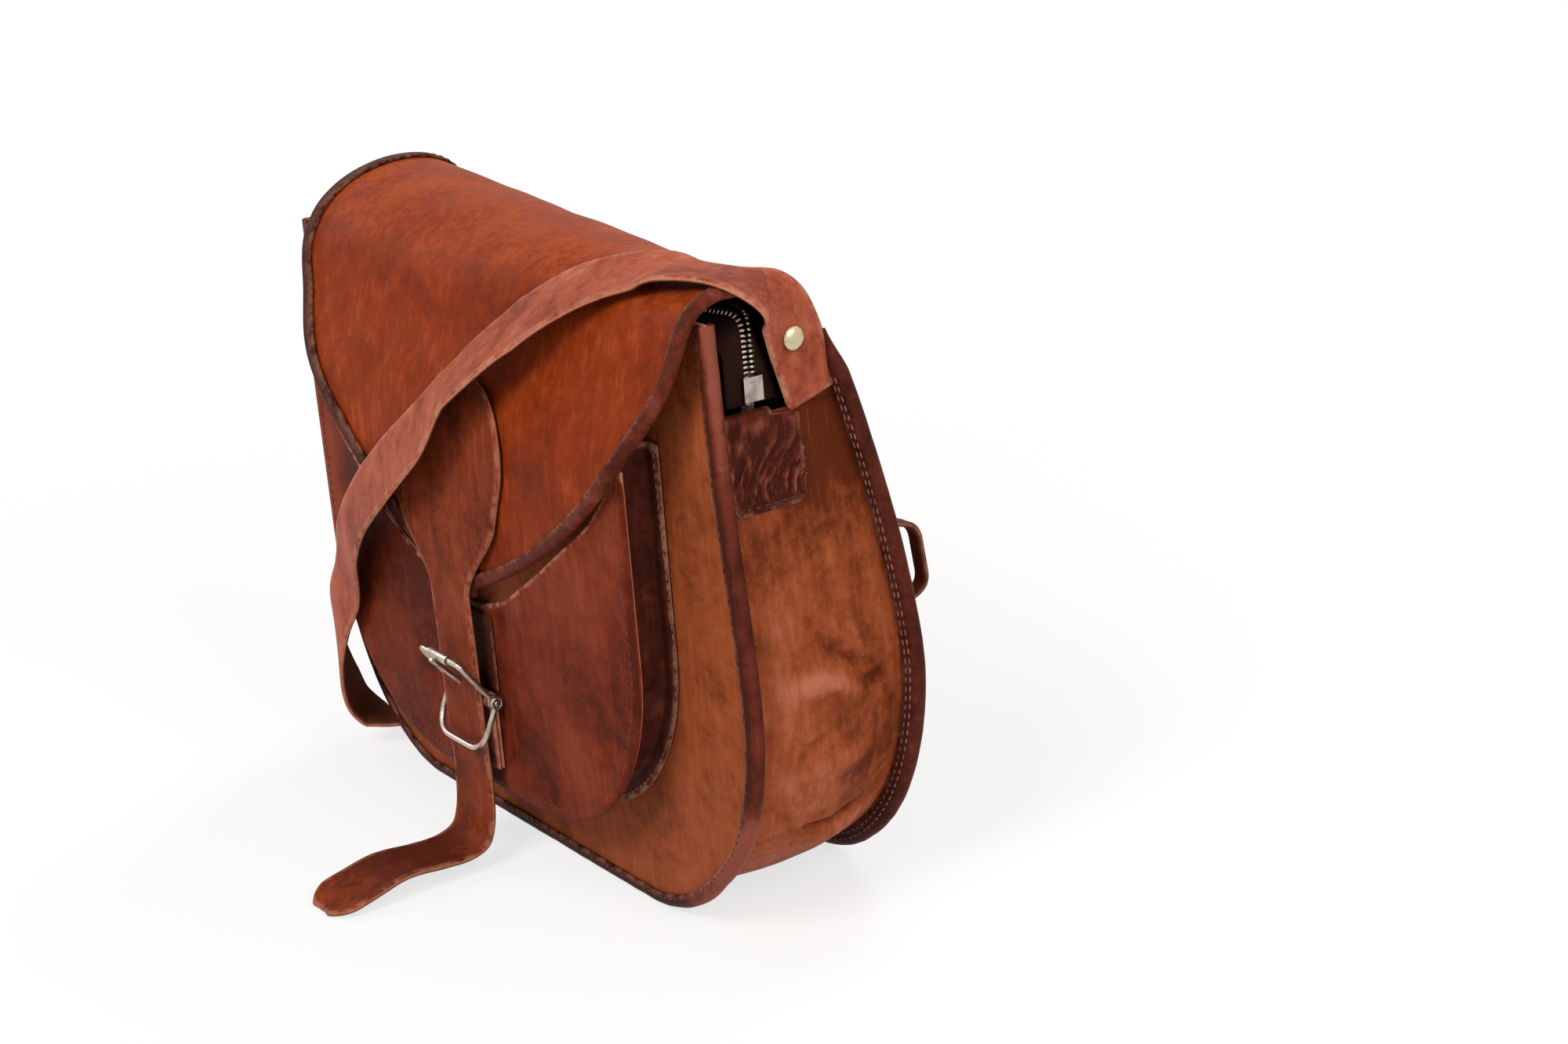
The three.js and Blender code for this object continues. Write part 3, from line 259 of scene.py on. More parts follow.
def spline(knots, ts):
    """Points of a smooth centripetal curve through the knots, at shares of its spans."""
    knots = np.asarray(knots, float)
    ext = np.vstack([2 * knots[0] - knots[1], knots, 2 * knots[-1] - knots[-2]])
    place = np.clip(np.asarray(ts, float), 0, 1) * (len(knots) - 1)
    span = np.minimum(place.astype(int), len(knots) - 2)
    w = (place - span)[:, None]
    p0, p1, p2, p3 = (ext[span + k] for k in range(4))
    d0, d1, d2 = (np.sqrt(np.linalg.norm(b - a, axis=1, keepdims=True)) + 1e-9
                  for a, b in ((p0, p1), (p1, p2), (p2, p3)))
    t1 = ((p1 - p0) / d0 - (p2 - p0) / (d0 + d1) + (p2 - p1) / d1) * d1
    t2 = ((p2 - p1) / d1 - (p3 - p1) / (d1 + d2) + (p3 - p2) / d2) * d1
    return p1 + t1 * w + (3 * (p2 - p1) - 2 * t1 - t2) * w ** 2 + (2 * (p1 - p2) + t1 + t2) * w ** 3


def arc(points):
    """Distance along a line of points."""
    steps = np.linalg.norm(np.diff(points, axis=0), axis=1)
    return np.concatenate([[0.0], np.cumsum(steps)])


def even(points, count, *others):
    """The line at equal steps, with any arrays that go with its points."""
    along = arc(points)
    want = np.linspace(0, along[-1], count)

    def pick(values):
        values = np.asarray(values, float)
        return np.stack([np.interp(want, along, values[:, k]) for k in range(values.shape[1])], axis=1)

    return [pick(v) for v in (points, *others)] if others else pick(points)


def rumple(points, scale, seed):
    """Soft noise from -1 to 1 at each point."""
    flat = np.asarray(points, float).reshape(-1, 3) * scale + seed
    found = np.array([noise.noise(Vector(p)) for p in flat])
    return found.reshape(np.shape(points)[:-1])


def crease(place, stops, width):
    """1 on a bent line, falling to 0 within about two widths, and fading at its ends."""
    best = np.zeros(place.shape[:-1])
    total = len(stops) - 1
    for i in range(total):
        a, b = np.array(stops[i]), np.array(stops[i + 1])
        t = np.clip(((place - a) @ (b - a)) / ((b - a) @ (b - a)), 0, 1)
        away = np.linalg.norm(place - (a + t[..., None] * (b - a)), axis=-1)
        fade = np.sin(np.pi * np.clip((i + t) / total, 0.04, 0.96))
        best = np.maximum(best, np.exp(-((away / width) ** 2)) * fade)
    return best


def round_corners(corners, radius, steps):
    """A broken line with its inner corners rounded."""
    corners = [np.array(c, float) for c in corners]
    points = [corners[0]]
    for before, at, after in zip(corners, corners[1:], corners[2:]):
        start = lerp(at, before, radius / np.linalg.norm(before - at))
        end = lerp(at, after, radius / np.linalg.norm(after - at))
        for t in np.linspace(0, 1, steps + 1):
            points.append((1 - t) ** 2 * start + 2 * t * (1 - t) * at + t ** 2 * end)
    points.append(corners[-1])
    return np.array(points)


# Meshes


def make_mesh(name, verts, faces, edge, inner, uv, relief):
    """A closed mesh with its faces outwards, and three numbers kept on its points for the shaders."""
    mesh = bpy.data.meshes.new(name)
    mesh.from_pydata(np.asarray(verts).tolist(), [], [tuple(int(i) for i in f) for f in faces])
    for label, values in (("edge", edge), ("inner", inner), ("relief", relief)):
        kept = mesh.attributes.new(label, "FLOAT", "POINT")
        kept.data.foreach_set("value", np.asarray(values, np.float32))
    layer = mesh.uv_layers.new(name="along")
    at = np.zeros(len(mesh.loops), np.int32)
    mesh.loops.foreach_get("vertex_index", at)
    layer.data.foreach_set("uv", np.asarray(uv, np.float32)[at].ravel())
    shell = bmesh.new()
    shell.from_mesh(mesh)
    bmesh.ops.recalc_face_normals(shell, faces=shell.faces)
    shell.to_mesh(mesh)
    shell.free()
    mesh.polygons.foreach_set("use_smooth", np.ones(len(mesh.polygons), bool))
    mesh.update()
    return mesh


def grid_faces(rows, cols, start=0, wrap=False):
    """Quads of a grid of points."""
    faces = []
    for i in range(rows - 1):
        for j in range(cols if wrap else cols - 1):
            k = (j + 1) % cols
            faces.append((start + i * cols + j, start + i * cols + k,
                          start + (i + 1) * cols + k, start + (i + 1) * cols + j))
    return faces


def border(rows, cols):
    """Indices round the edge of a grid."""
    top = list(range(cols))
    right = [i * cols + cols - 1 for i in range(1, rows)]
    low = [(rows - 1) * cols + j for j in range(cols - 2, -1, -1)]
    left = [i * cols for i in range(rows - 2, 0, -1)]
    return top + right + low + left


def edge_distance(grid):
    """Distance of each grid point from the grid's own border."""
    rows, cols = grid.shape[:2]
    across, down = np.zeros((rows, cols)), np.zeros((rows, cols))
    across[:, 1:] = np.cumsum(np.linalg.norm(np.diff(grid, axis=1), axis=2), axis=1)
    down[1:] = np.cumsum(np.linalg.norm(np.diff(grid, axis=0), axis=2), axis=0)
    near = np.minimum(np.minimum(across, across[:, -1:] - across), np.minimum(down, down[-1:] - down))
    return near, np.stack([across, down], axis=-1)


def grid_normals(grid, facing):
    """Normals of a grid, on the side that faces the given way."""
    normals = unit(np.cross(np.gradient(grid, axis=0), np.gradient(grid, axis=1)))
    return normals * np.where(np.sum(normals * facing, axis=-1, keepdims=True) < 0, -1, 1)


# Rows or columns of the larger meshes
PANEL_COLUMNS, GUSSET_ROWS, BINDING_ROWS, FLAP_EDGE_ROWS = 120, 380, 440, 460
FLAP_ROWS, FLAP_COLUMNS, POCKET_ROWS, POCKET_COLUMNS, POCKET_SIDE_ROWS = 170, 130, 90, 150, 300
CLOSURE_ROWS, STRAP_ROWS, TEETH_ROWS, TAB_ROWS, LOOP_ROWS = 300, 520, 400, 130, 120
# How far a cut edge bulges, as a share of the thickness, and what is added to an unworn edge's distance
EDGE_ROUND = 0.38
UNWORN = 10 * MM


def leather_sheet(name, grid, thickness, facing, relief=0.0, worn=1.0):
    """A sheet whose good side is the grid, with rounded cut edges that are rubbed pale where worn is 1."""
    rows, cols = grid.shape[:2]
    normals = grid_normals(grid, np.asarray(facing, float))
    under = grid - normals * thickness
    ring = border(rows, cols)
    flat, low = grid.reshape(-1, 3), under.reshape(-1, 3)
    above, beside = grid.copy(), grid.copy()
    above[0], above[-1] = grid[1], grid[-2]
    beside[:, 0], beside[:, -1] = grid[:, 1], grid[:, -2]
    out = unit(unit(grid - above) + unit(grid - beside))
    middle = (flat[ring] + low[ring]) / 2 + out.reshape(-1, 3)[ring] * thickness * EDGE_ROUND
    count, many = rows * cols, len(ring)
    faces = grid_faces(rows, cols) + grid_faces(rows, cols, count)
    for k in range(many):
        n = (k + 1) % many
        faces.append((ring[k], ring[n], 2 * count + n, 2 * count + k))
        faces.append((2 * count + k, 2 * count + n, count + ring[n], count + ring[k]))
    near, uv = edge_distance(grid)
    near, uv = near.ravel(), uv.reshape(-1, 2)
    relief, worn = (np.broadcast_to(np.asarray(v, float), (rows, cols)).ravel() for v in (relief, worn))
    edge = np.concatenate([near, near, np.zeros(many)])
    edge = edge + UNWORN * (1 - np.concatenate([worn, worn, worn[ring]]))
    inner = np.concatenate([np.zeros(count), np.ones(count), 0.5 * worn[ring]])
    return make_mesh(name, np.concatenate([flat, low, middle]), faces, edge, inner,
                     np.concatenate([uv, uv, uv[ring]]), np.concatenate([relief, np.zeros(count + many)]))


def tube(name, rings, edge, relief):
    """A closed strip through rings of points, with flat ends."""
    rows, cols = rings.shape[:2]
    flat = rings.reshape(-1, 3)
    faces = grid_faces(rows, cols, wrap=True)
    ends = np.stack([rings[0].mean(0), rings[-1].mean(0)])
    for k in range(cols):
        n = (k + 1) % cols
        faces.append((rows * cols, k, n))
        faces.append((rows * cols + 1, (rows - 1) * cols + n, (rows - 1) * cols + k))
    down = arc(rings.mean(1))
    uv = np.stack(np.broadcast_arrays(arc(rings[rows // 2]), down[:, None]), axis=-1).reshape(-1, 2)
    edge, relief = (np.append(np.broadcast_to(v, (rows, cols)), (0, 0)) for v in (edge, relief))
    return make_mesh(name, np.concatenate([flat, ends]), faces, edge, np.zeros(len(edge)),
                     np.concatenate([uv, np.zeros((2, 2))]), relief)


def joined(name, meshes):
    """One mesh from several closed ones."""
    shell = bmesh.new()
    for mesh in meshes:
        shell.from_mesh(mesh)
        bpy.data.meshes.remove(mesh)
    whole = bpy.data.meshes.new(name)
    shell.to_mesh(whole)
    shell.free()
    return whole


# Outlines and surfaces of the bag


class Outline:
    """A panel's outline with straight sides, rounded lower corners and a straight bottom."""

    def __init__(self, top, half_top, half_low, bottom, corner_x, corner_z):
        self.top, self.half_top, self.half_low = top, half_top, half_low
        self.bottom, self.corner_x, self.corner_z = bottom, corner_x, corner_z
        self.low = bottom + corner_z

    def half(self, z):
        """Half of the width at a height."""
        z = np.asarray(z, float)
        straight = lerp(self.half_low, self.half_top, (z - self.low) / (self.top - self.low))
        drop = np.clip((self.low - z) / self.corner_z, 0, 1)
        corner = self.half_low - self.corner_x * (1 - np.sqrt(1 - drop ** 2))
        return np.where(z >= self.low, straight, corner)

    def heights(self, top, above, below):
        """Heights from the bottom to the top, close together in the corners."""
        angle = np.linspace(np.pi / 2, 0, below)
        corner = self.low - self.corner_z * np.sin(angle)
        return np.concatenate([corner, np.linspace(self.low, top, above)[1:]])

    def path(self, top, count, inset=0.0):
        """Evenly spaced points and outward normals from the top right round to the top left."""
        z = self.heights(top, 60, 60)[::-1]
        right = np.stack([self.half(z), z], axis=1)
        line = even(np.concatenate([right, (right * (-1, 1))[::-1]]), count)
        along = unit(np.gradient(line, axis=0))
        normals = np.stack([-along[:, 1], along[:, 0]], axis=1)
        return line - normals * inset, normals


def panel_outline():
    """Outline of the front and back panels."""
    b = sizes()[0]
    return Outline(b.top, b.half_top, b.half_low, b.gap + b.binding_t, b.corner_x, b.corner_z)


def pocket_outline():
    """Outline of the pocket."""
    p = sizes()[2]
    return Outline(p.side_top, p.half, p.half, p.bottom, p.corner_x, p.corner_z)


def back_lean(x, z):
    """How far the back has leaned forward."""
    b = sizes()[0]
    rise = np.clip((np.asarray(z, float) - b.lean_from) / (b.hinge_z - b.lean_from), 0, None)
    across = np.clip((np.asarray(x, float) + b.half_low) / (2 * b.half_low), 0, 1)
    return lerp(b.lean_left, b.lean_right, across) * rise ** b.lean_power


def back_face(x, z):
    """Depth of the back's outer face."""
    return sizes()[0].depth - back_lean(x, z)


# Heights and widths over which the front's bow comes and goes
BOW_LOW, BOW_HIGH, BOW_ACROSS = (20 * MM, 60 * MM), (235 * MM, 130 * MM), (100 * MM, 170 * MM)


def front_swell(x, z):
    """How far the front's right edge bows out between its corner and the gusset's top."""
    rise = ease(z, *BOW_LOW) * ease(z, *BOW_HIGH)
    return sizes()[0].front_bow * ease(x, *BOW_ACROSS) * rise


def seam():
    """Thickness that a folded binding adds on one face."""
    b = sizes()[0]
    return b.gap + b.binding_t


def web_outer():
    """Half width over the gusset's upright part at its top."""
    b = sizes()[0]
    return float(panel_outline().half(b.gusset_top)) - b.flange


# Room from the flap's tip to the pocket, where its profile turns down, and how square its two ends are
FLAP_STANDOFF = 2.3 * MM
FLAP_FRONT = 0.5
SQUARE_LEFT, SQUARE_RIGHT = 3, 2
# The flap's profile: angles over the crown, then shares on the way down to the front, the pocket and the tip
FLAP_TURNS = (math.pi / 6, math.pi / 3)
FLAP_CREST = (0.6, 0.32)
FLAP_SLOPE = ((0, 0), (0.45, 0.4), (0.92, 0.8))
FLAP_FALLS = (0.2, 0.6, 1)


def flap_knots(x, crown_y, crown_z, power):
    """Side profile of the flap at one end, from the seam over the crown to the tip."""
    b, f, p, _ = sizes()
    hinge_y = float(back_face(x, b.hinge_z)) - f.thickness
    tip_y = -p.depth - FLAP_STANDOFF - seam()
    knots = [(hinge_y, b.hinge_z + b.gap)]
    for angle in FLAP_TURNS:
        knots.append((lerp(crown_y, hinge_y, math.cos(angle) ** (2 / power)),
                      lerp(b.hinge_z, crown_z, math.sin(angle) ** (2 / power))))
    knots.append((crown_y, crown_z))
    knots.append((lerp(crown_y, f.front_y, FLAP_CREST[0]), lerp(crown_z, b.top, FLAP_CREST[1])))
    for y_share, z_share in FLAP_SLOPE:
        knots.append((lerp(f.front_y, tip_y, y_share), lerp(b.top, p.side_top, z_share)))
    for fall in FLAP_FALLS:
        knots.append((tip_y, lerp(p.side_top, f.tip_z, fall)))
    return np.array([(0, y, z) for y, z in knots])


def flap_curves():
    """Knots of the flap's left and right profiles."""
    f = sizes()[1]
    return (flap_knots(-f.half, f.crown_left_y, f.crown_left_z, SQUARE_LEFT),
            flap_knots(f.half, f.crown_right_y, f.crown_right_z, SQUARE_RIGHT))


def flap_frame(x, t):
    """Points on the flap's inner face and its normals, x across and t along the profile."""
    f = sizes()[1]
    x, t = np.broadcast_arrays(np.asarray(x, float), np.asarray(t, float))
    left, right = flap_curves()
    across = np.clip((x.ravel() + f.half) / (2 * f.half), 0, 1)[:, None]
    step = 1e-3

    def at(where):
        where = np.clip(where.ravel(), 0, 1)
        return lerp(spline(left, where), spline(right, where), across)

    along = unit(at(t + step) - at(t - step))
    normal = np.stack([np.zeros(len(along)), along[:, 2], -along[:, 1]], axis=1)
    point = at(t)
    point[:, 0] = x.ravel()
    return point.reshape(x.shape + (3,)), normal.reshape(x.shape + (3,))


def flap_at(x, t, lift):
    """Points at a height above the flap's inner face."""
    point, normal = flap_frame(x, t)
    return point + normal * np.asarray(lift, float)[..., None]


def flap_half(t, side):
    """Signed half width of the flap on one side."""
    b, f, _, _ = sizes()
    t = np.asarray(t, float)
    way = np.minimum(t / FLAP_FRONT, 1)
    half = lerp(f.half_back, f.half, way)
    if side < 0:
        half = half * lerp(1, f.left_share, way ** f.left_power)
    z = flap_frame(np.zeros_like(t), t)[0][..., 2]
    fall = np.clip((b.top - z) / (b.top - f.tip_z), 0, 1)
    width = np.where(way < 1, 1, (1 - fall ** f.taper) ** (1 / f.rounding))
    return side * np.maximum(half * width, f.tip_half)


def flap_share(x, height):
    """Where along the front half of its profile the flap has a height."""
    ts = np.linspace(FLAP_FRONT, 1.0, 1200)
    found = flap_frame(x, ts)[0][:, 2]
    return float(ts[np.argmin(np.abs(found - height))])


# Shader maths


class Amount:
    """A number that varies over a surface; arithmetic on it adds Math nodes."""

    def __init__(self, bench, socket):
        self.bench, self.socket = bench, socket

    def maths(self, operation, *values):
        """The result of one Math node."""
        node = self.bench.node("ShaderNodeMath", {"operation": operation}, dict(enumerate(values)))
        return Amount(self.bench, node.outputs[0])

    def __add__(self, other):
        return self.maths("ADD", self, other)

    def __radd__(self, other):
        return self.maths("ADD", other, self)

    def __sub__(self, other):
        return self.maths("SUBTRACT", self, other)

    def __rsub__(self, other):
        return self.maths("SUBTRACT", other, self)

    def __mul__(self, other):
        return self.maths("MULTIPLY", self, other)

    def __rmul__(self, other):
        return self.maths("MULTIPLY", other, self)

    def absolute(self):
        """Without its sign."""
        return self.maths("ABSOLUTE", self)

    def between(self, low, high):
        """0 at low to 1 at high, smoothly."""
        node = self.bench.node("ShaderNodeMapRange", {"interpolation_type": "SMOOTHSTEP"},
                               {"Value": self, "From Min": low, "From Max": high})
        return Amount(self.bench, node.outputs["Result"])


class Bench:
    """The node tree of a material or a world, and the means to add to it."""

    def __init__(self, owner):
        owner.use_nodes = True
        self.owner, self.tree = owner, owner.node_tree
        self.tree.nodes.clear()

    def node(self, kind, settings=None, sockets=None):
        """A node with its settings made first, then its sockets set or linked."""
        made = self.tree.nodes.new(kind)
        for key, value in (settings or {}).items():
            setattr(made, key, value)
        for key, value in (sockets or {}).items():
            self.feed(made.inputs[key], value)
        return made

    def feed(self, socket, value):
        """Links or sets one socket."""
        if isinstance(value, Amount):
            value = value.socket
        if isinstance(value, bpy.types.NodeSocket):
            self.tree.links.new(value, socket)
        else:
            socket.default_value = value

    def seen(self):
        """1 where the camera, a reflection or a refraction looks, and else 0."""
        rays = self.node("ShaderNodeLightPath").outputs
        seen = Amount(self, rays["Is Camera Ray"])
        for kind in ("Is Glossy Ray", "Is Transmission Ray"):
            seen = seen.maths("MAXIMUM", seen, Amount(self, rays[kind]))
        return seen


class Paint(Bench):
    """A new material with its shader and its patterns."""

    def __init__(self, name):
        super().__init__(bpy.data.materials.new(name))
        self.shader = self.node("ShaderNodeBsdfPrincipled")
        self.output = self.node("ShaderNodeOutputMaterial", {}, {"Surface": self.shader.outputs["BSDF"]})
        self.place = self.node("ShaderNodeTexCoord").outputs["Object"]

    def stretched(self, scale, turn=(0.0, 0.0, 0.0)):
        """Object coordinates turned, then stretched differently along each axis."""
        node = self.node("ShaderNodeMapping", {}, {"Vector": self.place, "Scale": scale, "Rotation": turn})
        return node.outputs["Vector"]

    def clouds(self, scale, detail=3.0, rough=0.6, vector=None, warp=0.0):
        """Soft noise from 0 to 1."""
        node = self.node("ShaderNodeTexNoise", {}, {
            "Vector": vector or self.place, "Scale": scale, "Detail": detail,
            "Roughness": rough, "Distortion": warp})
        return Amount(self, node.outputs[0])

    def cells(self, scale, feature="F1", vector=None):
        """Distance pattern of small cells."""
        node = self.node("ShaderNodeTexVoronoi", {"feature": feature},
                         {"Vector": vector or self.place, "Scale": scale})
        return Amount(self, node.outputs["Distance"])

    def attribute(self, name):
        """A number kept on the mesh."""
        node = self.node("ShaderNodeAttribute", {"attribute_name": name})
        return Amount(self, node.outputs["Fac"])

    def mixed(self, factor, first, second):
        """One colour into another."""
        sockets = {0: factor}
        for index, value in ((6, first), (7, second)):
            sockets[index] = value if isinstance(value, bpy.types.NodeSocket) else (*value, 1.0)
        return self.node("ShaderNodeMix", {"data_type": "RGBA"}, sockets).outputs[2]

    def raised(self, height, strength, distance):
        """A bump from a height."""
        sockets = {"Height": height, "Strength": strength, "Distance": distance}
        return self.node("ShaderNodeBump", {}, sockets).outputs["Normal"]

    def finish(self, base, roughness, normal=None, **constants):
        """Feeds the shader's sockets and returns the material."""
        self.feed(self.shader.inputs["Base Color"], base)
        self.feed(self.shader.inputs["Roughness"], roughness)
        if normal is not None:
            self.feed(self.shader.inputs["Normal"], normal)
        for key, value in constants.items():
            self.shader.inputs[key.replace("_", " ")].default_value = value
        return self.owner


def colour(name):
    """One colour of the scene as a plain tuple."""
    return tuple(getattr(bpy.context.scene.satchel_tones, name))


# Leather: repeats per metre of its patterns, how its streaks run, and how far its edges are rubbed
FINE_SCALE, PORE_SCALE, FOLD_SCALE, RUB_SCALE = 900.0, 1150.0, 330.0, 140.0
STREAKS = (260.0, 260.0, 26.0)
SCRATCHES, SCRATCH_TURN = (430.0, 430.0, 8.0), (0.14, 0.2, 0.0)
RUB_REACH = (0.1 * MM, 2.8 * MM)
DARK_RANGE, LIGHT_RANGE = (0.54, 0.38), (0.50, 0.70)
BUMP_DEPTH = 0.6 * MM


def leather(name, family, streak=0.5, patch=28.0, grain=1.0, wear=0.5, rough=0.5, crackle=0.0,
            contrast=0.8, shine=0.025):
    """Worn waxed leather in three tones, with streaks, grain, rubbed edges and a flesh side."""
    paint = Paint(name)
    plain, pale, deep = (colour(family + part) for part in ("_base", "_light", "_dark"))
    edge, inner, relief = (paint.attribute(label) for label in ("edge", "inner", "relief"))
    patches = paint.clouds(patch, 4.0, 0.6, warp=0.5)
    mottle = paint.clouds(patch * 4.6, 4.0, 0.62)
    blots = paint.clouds(patch * 11.0, warp=0.8)
    fine = paint.clouds(FINE_SCALE, 2.0, 0.5)
    lines = paint.clouds(1.0, vector=paint.stretched(STREAKS))
    scratch = paint.clouds(1.0, 2.0, 0.5, paint.stretched(SCRATCHES, SCRATCH_TURN))

    blend = (patches * 0.5 + mottle * 0.35 + blots * 0.15 - 0.5) * contrast + 0.5
    # The painted light and wear number kept on the mesh moves the tone along with the random patches and
    # streaks: painted shade and darker places go toward the dark colour, painted highlights, sheen and rubbed
    # places toward the light colour
    dark = blend + relief * 0.25 + (lines - 0.5) * (streak * 0.35)
    light = blend + relief * 0.3 + (lines - 0.5) * (streak * 0.5 + 0.15)
    rub = (1 - edge.between(*RUB_REACH)) * paint.clouds(RUB_SCALE, 3.0, 0.65).between(0.38, 0.62)
    cut = (1 - (inner - 0.5).absolute() * 2).between(0.35, 0.9)
    flesh = inner.between(0.6, 0.95)
    base = plain
    for factor, tint in (
        (dark.between(*DARK_RANGE) * 0.85, deep), (light.between(*LIGHT_RANGE) * 0.7, pale),
        (scratch.between(0.64, 0.72) * (0.35 * streak), pale), (fine.between(0.56, 0.8) * 0.3, deep),
        (rub * wear, colour("raw_edge")), (cut * wear, colour("raw_edge")), (flesh * 0.85, colour("inside")),
    ):
        base = paint.mixed(factor, base, tint)

    folds = paint.cells(FOLD_SCALE, "DISTANCE_TO_EDGE", paint.stretched((1.0, 1.0, 0.7)))
    rise = (paint.cells(PORE_SCALE) * 0.5 + fine * 0.35 + mottle * 1.2
            + folds.between(0.0, 0.12) * (0.35 + crackle))
    gloss = rough + (mottle - 0.5) * 0.22 + (lines - 0.5) * 0.12 + flesh * 0.35 - rub * 0.08
    return paint.finish(base, gloss, paint.raised(rise, 0.32 * grain, BUMP_DEPTH), Specular_IOR_Level=shine)


# Metal, thread and cloth: repeats per metre of their patterns, and the share of each colour left by tarnish
BLOOM_SCALE, SOIL_SCALE, TWIST_SCALE, DUST_SCALE = 160.0, 120.0, 2600.0, 90.0
WARP_SCALE, WEFT_SCALE = 420.0, 520.0
TARNISH = (0.34, 0.27, 0.22)


def metal(name, tint, rough, dull):
    """Plated wire or cast metal with dull patches and fine scratches."""
    paint = Paint(name)
    bloom = paint.clouds(BLOOM_SCALE, 4.0)
    fine = paint.clouds(FINE_SCALE, 2.0, 0.5)
    plain = colour(tint)
    tarnish = tuple(c * share for c, share in zip(plain, TARNISH))
    base = paint.mixed(bloom.between(0.45, 0.68) * dull, plain, tarnish)
    gloss = rough + bloom.between(0.4, 0.7) * 0.25 + (fine - 0.5) * 0.1
    return paint.finish(base, gloss, paint.raised(fine * 0.5 + bloom, 0.12, 0.4 * MM), Metallic=1.0)


def thread(name, tint):
    """Twisted waxed thread."""
    paint = Paint(name)
    soil = paint.clouds(SOIL_SCALE)
    twist = paint.clouds(TWIST_SCALE, 1.0, 0.5)
    plain = colour(tint)
    base = paint.mixed(soil.between(0.4, 0.65) * 0.75, plain, tuple(c * 0.35 for c in plain))
    return paint.finish(base, 0.7 + (twist - 0.5) * 0.2, paint.raised(twist, 0.5, 0.2 * MM))


def woven(name, tint):
    """Close herringbone cloth of a zip tape."""
    paint = Paint(name)
    at = paint.node("ShaderNodeUVMap", {"uv_map": "along"}).outputs["UV"]

    def threads(direction, scale):
        wave = paint.node("ShaderNodeTexWave", {"bands_direction": direction}, {"Vector": at, "Scale": scale})
        return Amount(paint, wave.outputs["Fac"])

    cloth = threads("X", WARP_SCALE) * threads("Y", WEFT_SCALE)
    dust = paint.clouds(DUST_SCALE)
    plain = colour(tint)
    pale = tuple(min(1, c * 2.0) for c in plain)
    base = paint.mixed(cloth * 0.6 + dust.between(0.5, 0.75) * 0.3, plain, pale)
    return paint.finish(base, 0.9 - cloth * 0.1, paint.raised(cloth, 0.6, 0.3 * MM), Specular_IOR_Level=0.05)


FINISHES = {
    "panel leather": (leather, dict(family="panel", streak=0.4, patch=24)),
    "back leather": (leather, dict(family="gusset", patch=20, contrast=0.6)),
    "gusset leather": (leather, dict(family="gusset", streak=0.35, patch=22, grain=1.2, wear=0.6,
                                     crackle=0.5, contrast=0.6)),
    "front binding leather": (leather, dict(family="roll", streak=0.2, patch=18, grain=1.1, wear=0.35,
                                            rough=0.42)),
    "binding leather": (leather, dict(family="binding", streak=0.3, patch=40, grain=1.1, wear=0.3,
                                      rough=0.42)),
    "flap leather": (leather, dict(family="flap", patch=26, contrast=0.75, shine=0.035)),
    "flap binding leather": (leather, dict(family="roll", streak=0.2, patch=40, grain=1.1, wear=0.3,
                                           rough=0.42)),
    "closure leather": (leather, dict(family="tail", streak=0.4, patch=26, wear=0.4)),
    "pocket leather": (leather, dict(family="pocket", streak=0.4, patch=24, wear=0.85)),
    "lining leather": (leather, dict(family="panel", streak=0.3, patch=40, wear=0.3)),
    "pocket side leather": (leather, dict(family="binding", patch=36)),
    "strap leather": (leather, dict(family="strap", streak=0.3, patch=30, wear=0.6)),
    "tongue leather": (leather, dict(family="binding", patch=40, wear=0.15)),
    "tab leather": (leather, dict(family="roll", patch=60, grain=1.5, wear=0.3, rough=0.4, crackle=1.0)),
    "loop leather": (leather, dict(family="binding", streak=0.3, patch=30, wear=0.3)),
    "worn nickel": (metal, dict(tint="nickel", rough=0.27, dull=0.6)),
    "aged brass": (metal, dict(tint="brass", rough=0.25, dull=0.55)),
    "cast teeth": (metal, dict(tint="teeth", rough=0.3, dull=0.5)),
    "pale thread": (thread, dict(tint="thread")),
    "dark thread": (thread, dict(tint="dark_thread")),
    "zip cloth": (woven, dict(tint="tape")),
}


def finish(name):
    """A finish by its name, made the first time it is asked for."""
    make, settings = FINISHES[name]
    return bpy.data.materials.get(name) or make(name, **settings)


# Pieces in the scene


def place_piece(name, mesh, look, body, slot, *nodes):
    """Puts a finished mesh in the scene, on its body and in the place of its model nodes."""
    piece = bpy.data.objects.new(name, mesh)
    bpy.context.scene.collection.objects.link(piece)
    mesh.materials.clear()
    mesh.materials.append(finish(look))
    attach(piece, body)
    if nodes:
        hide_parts(*nodes)


def lay(node, grid, thickness, facing, look, body, slot, relief=0.0, worn=1.0, kind="leather"):
    """A sheet in the place of a model node."""
    mesh = leather_sheet(node, grid, thickness, facing, relief, worn)
    place_piece("%s_%s" % (node, kind), mesh, look, body, slot, node)


def lay_extra(name, grid, thickness, facing, look, slot, relief=0.0, worn=1.0):
    """A sheet on the bag that no model node stands for."""
    place_piece(name, leather_sheet(name, grid, thickness, facing, relief, worn), look, "bag", slot)


def baked(piece):
    """The piece's mesh with its modifiers applied, as a plain mesh."""
    graph = bpy.context.evaluated_depsgraph_get()
    mesh = bpy.data.meshes.new_from_object(piece.evaluated_get(graph))
    piece.modifiers.clear()
    return mesh


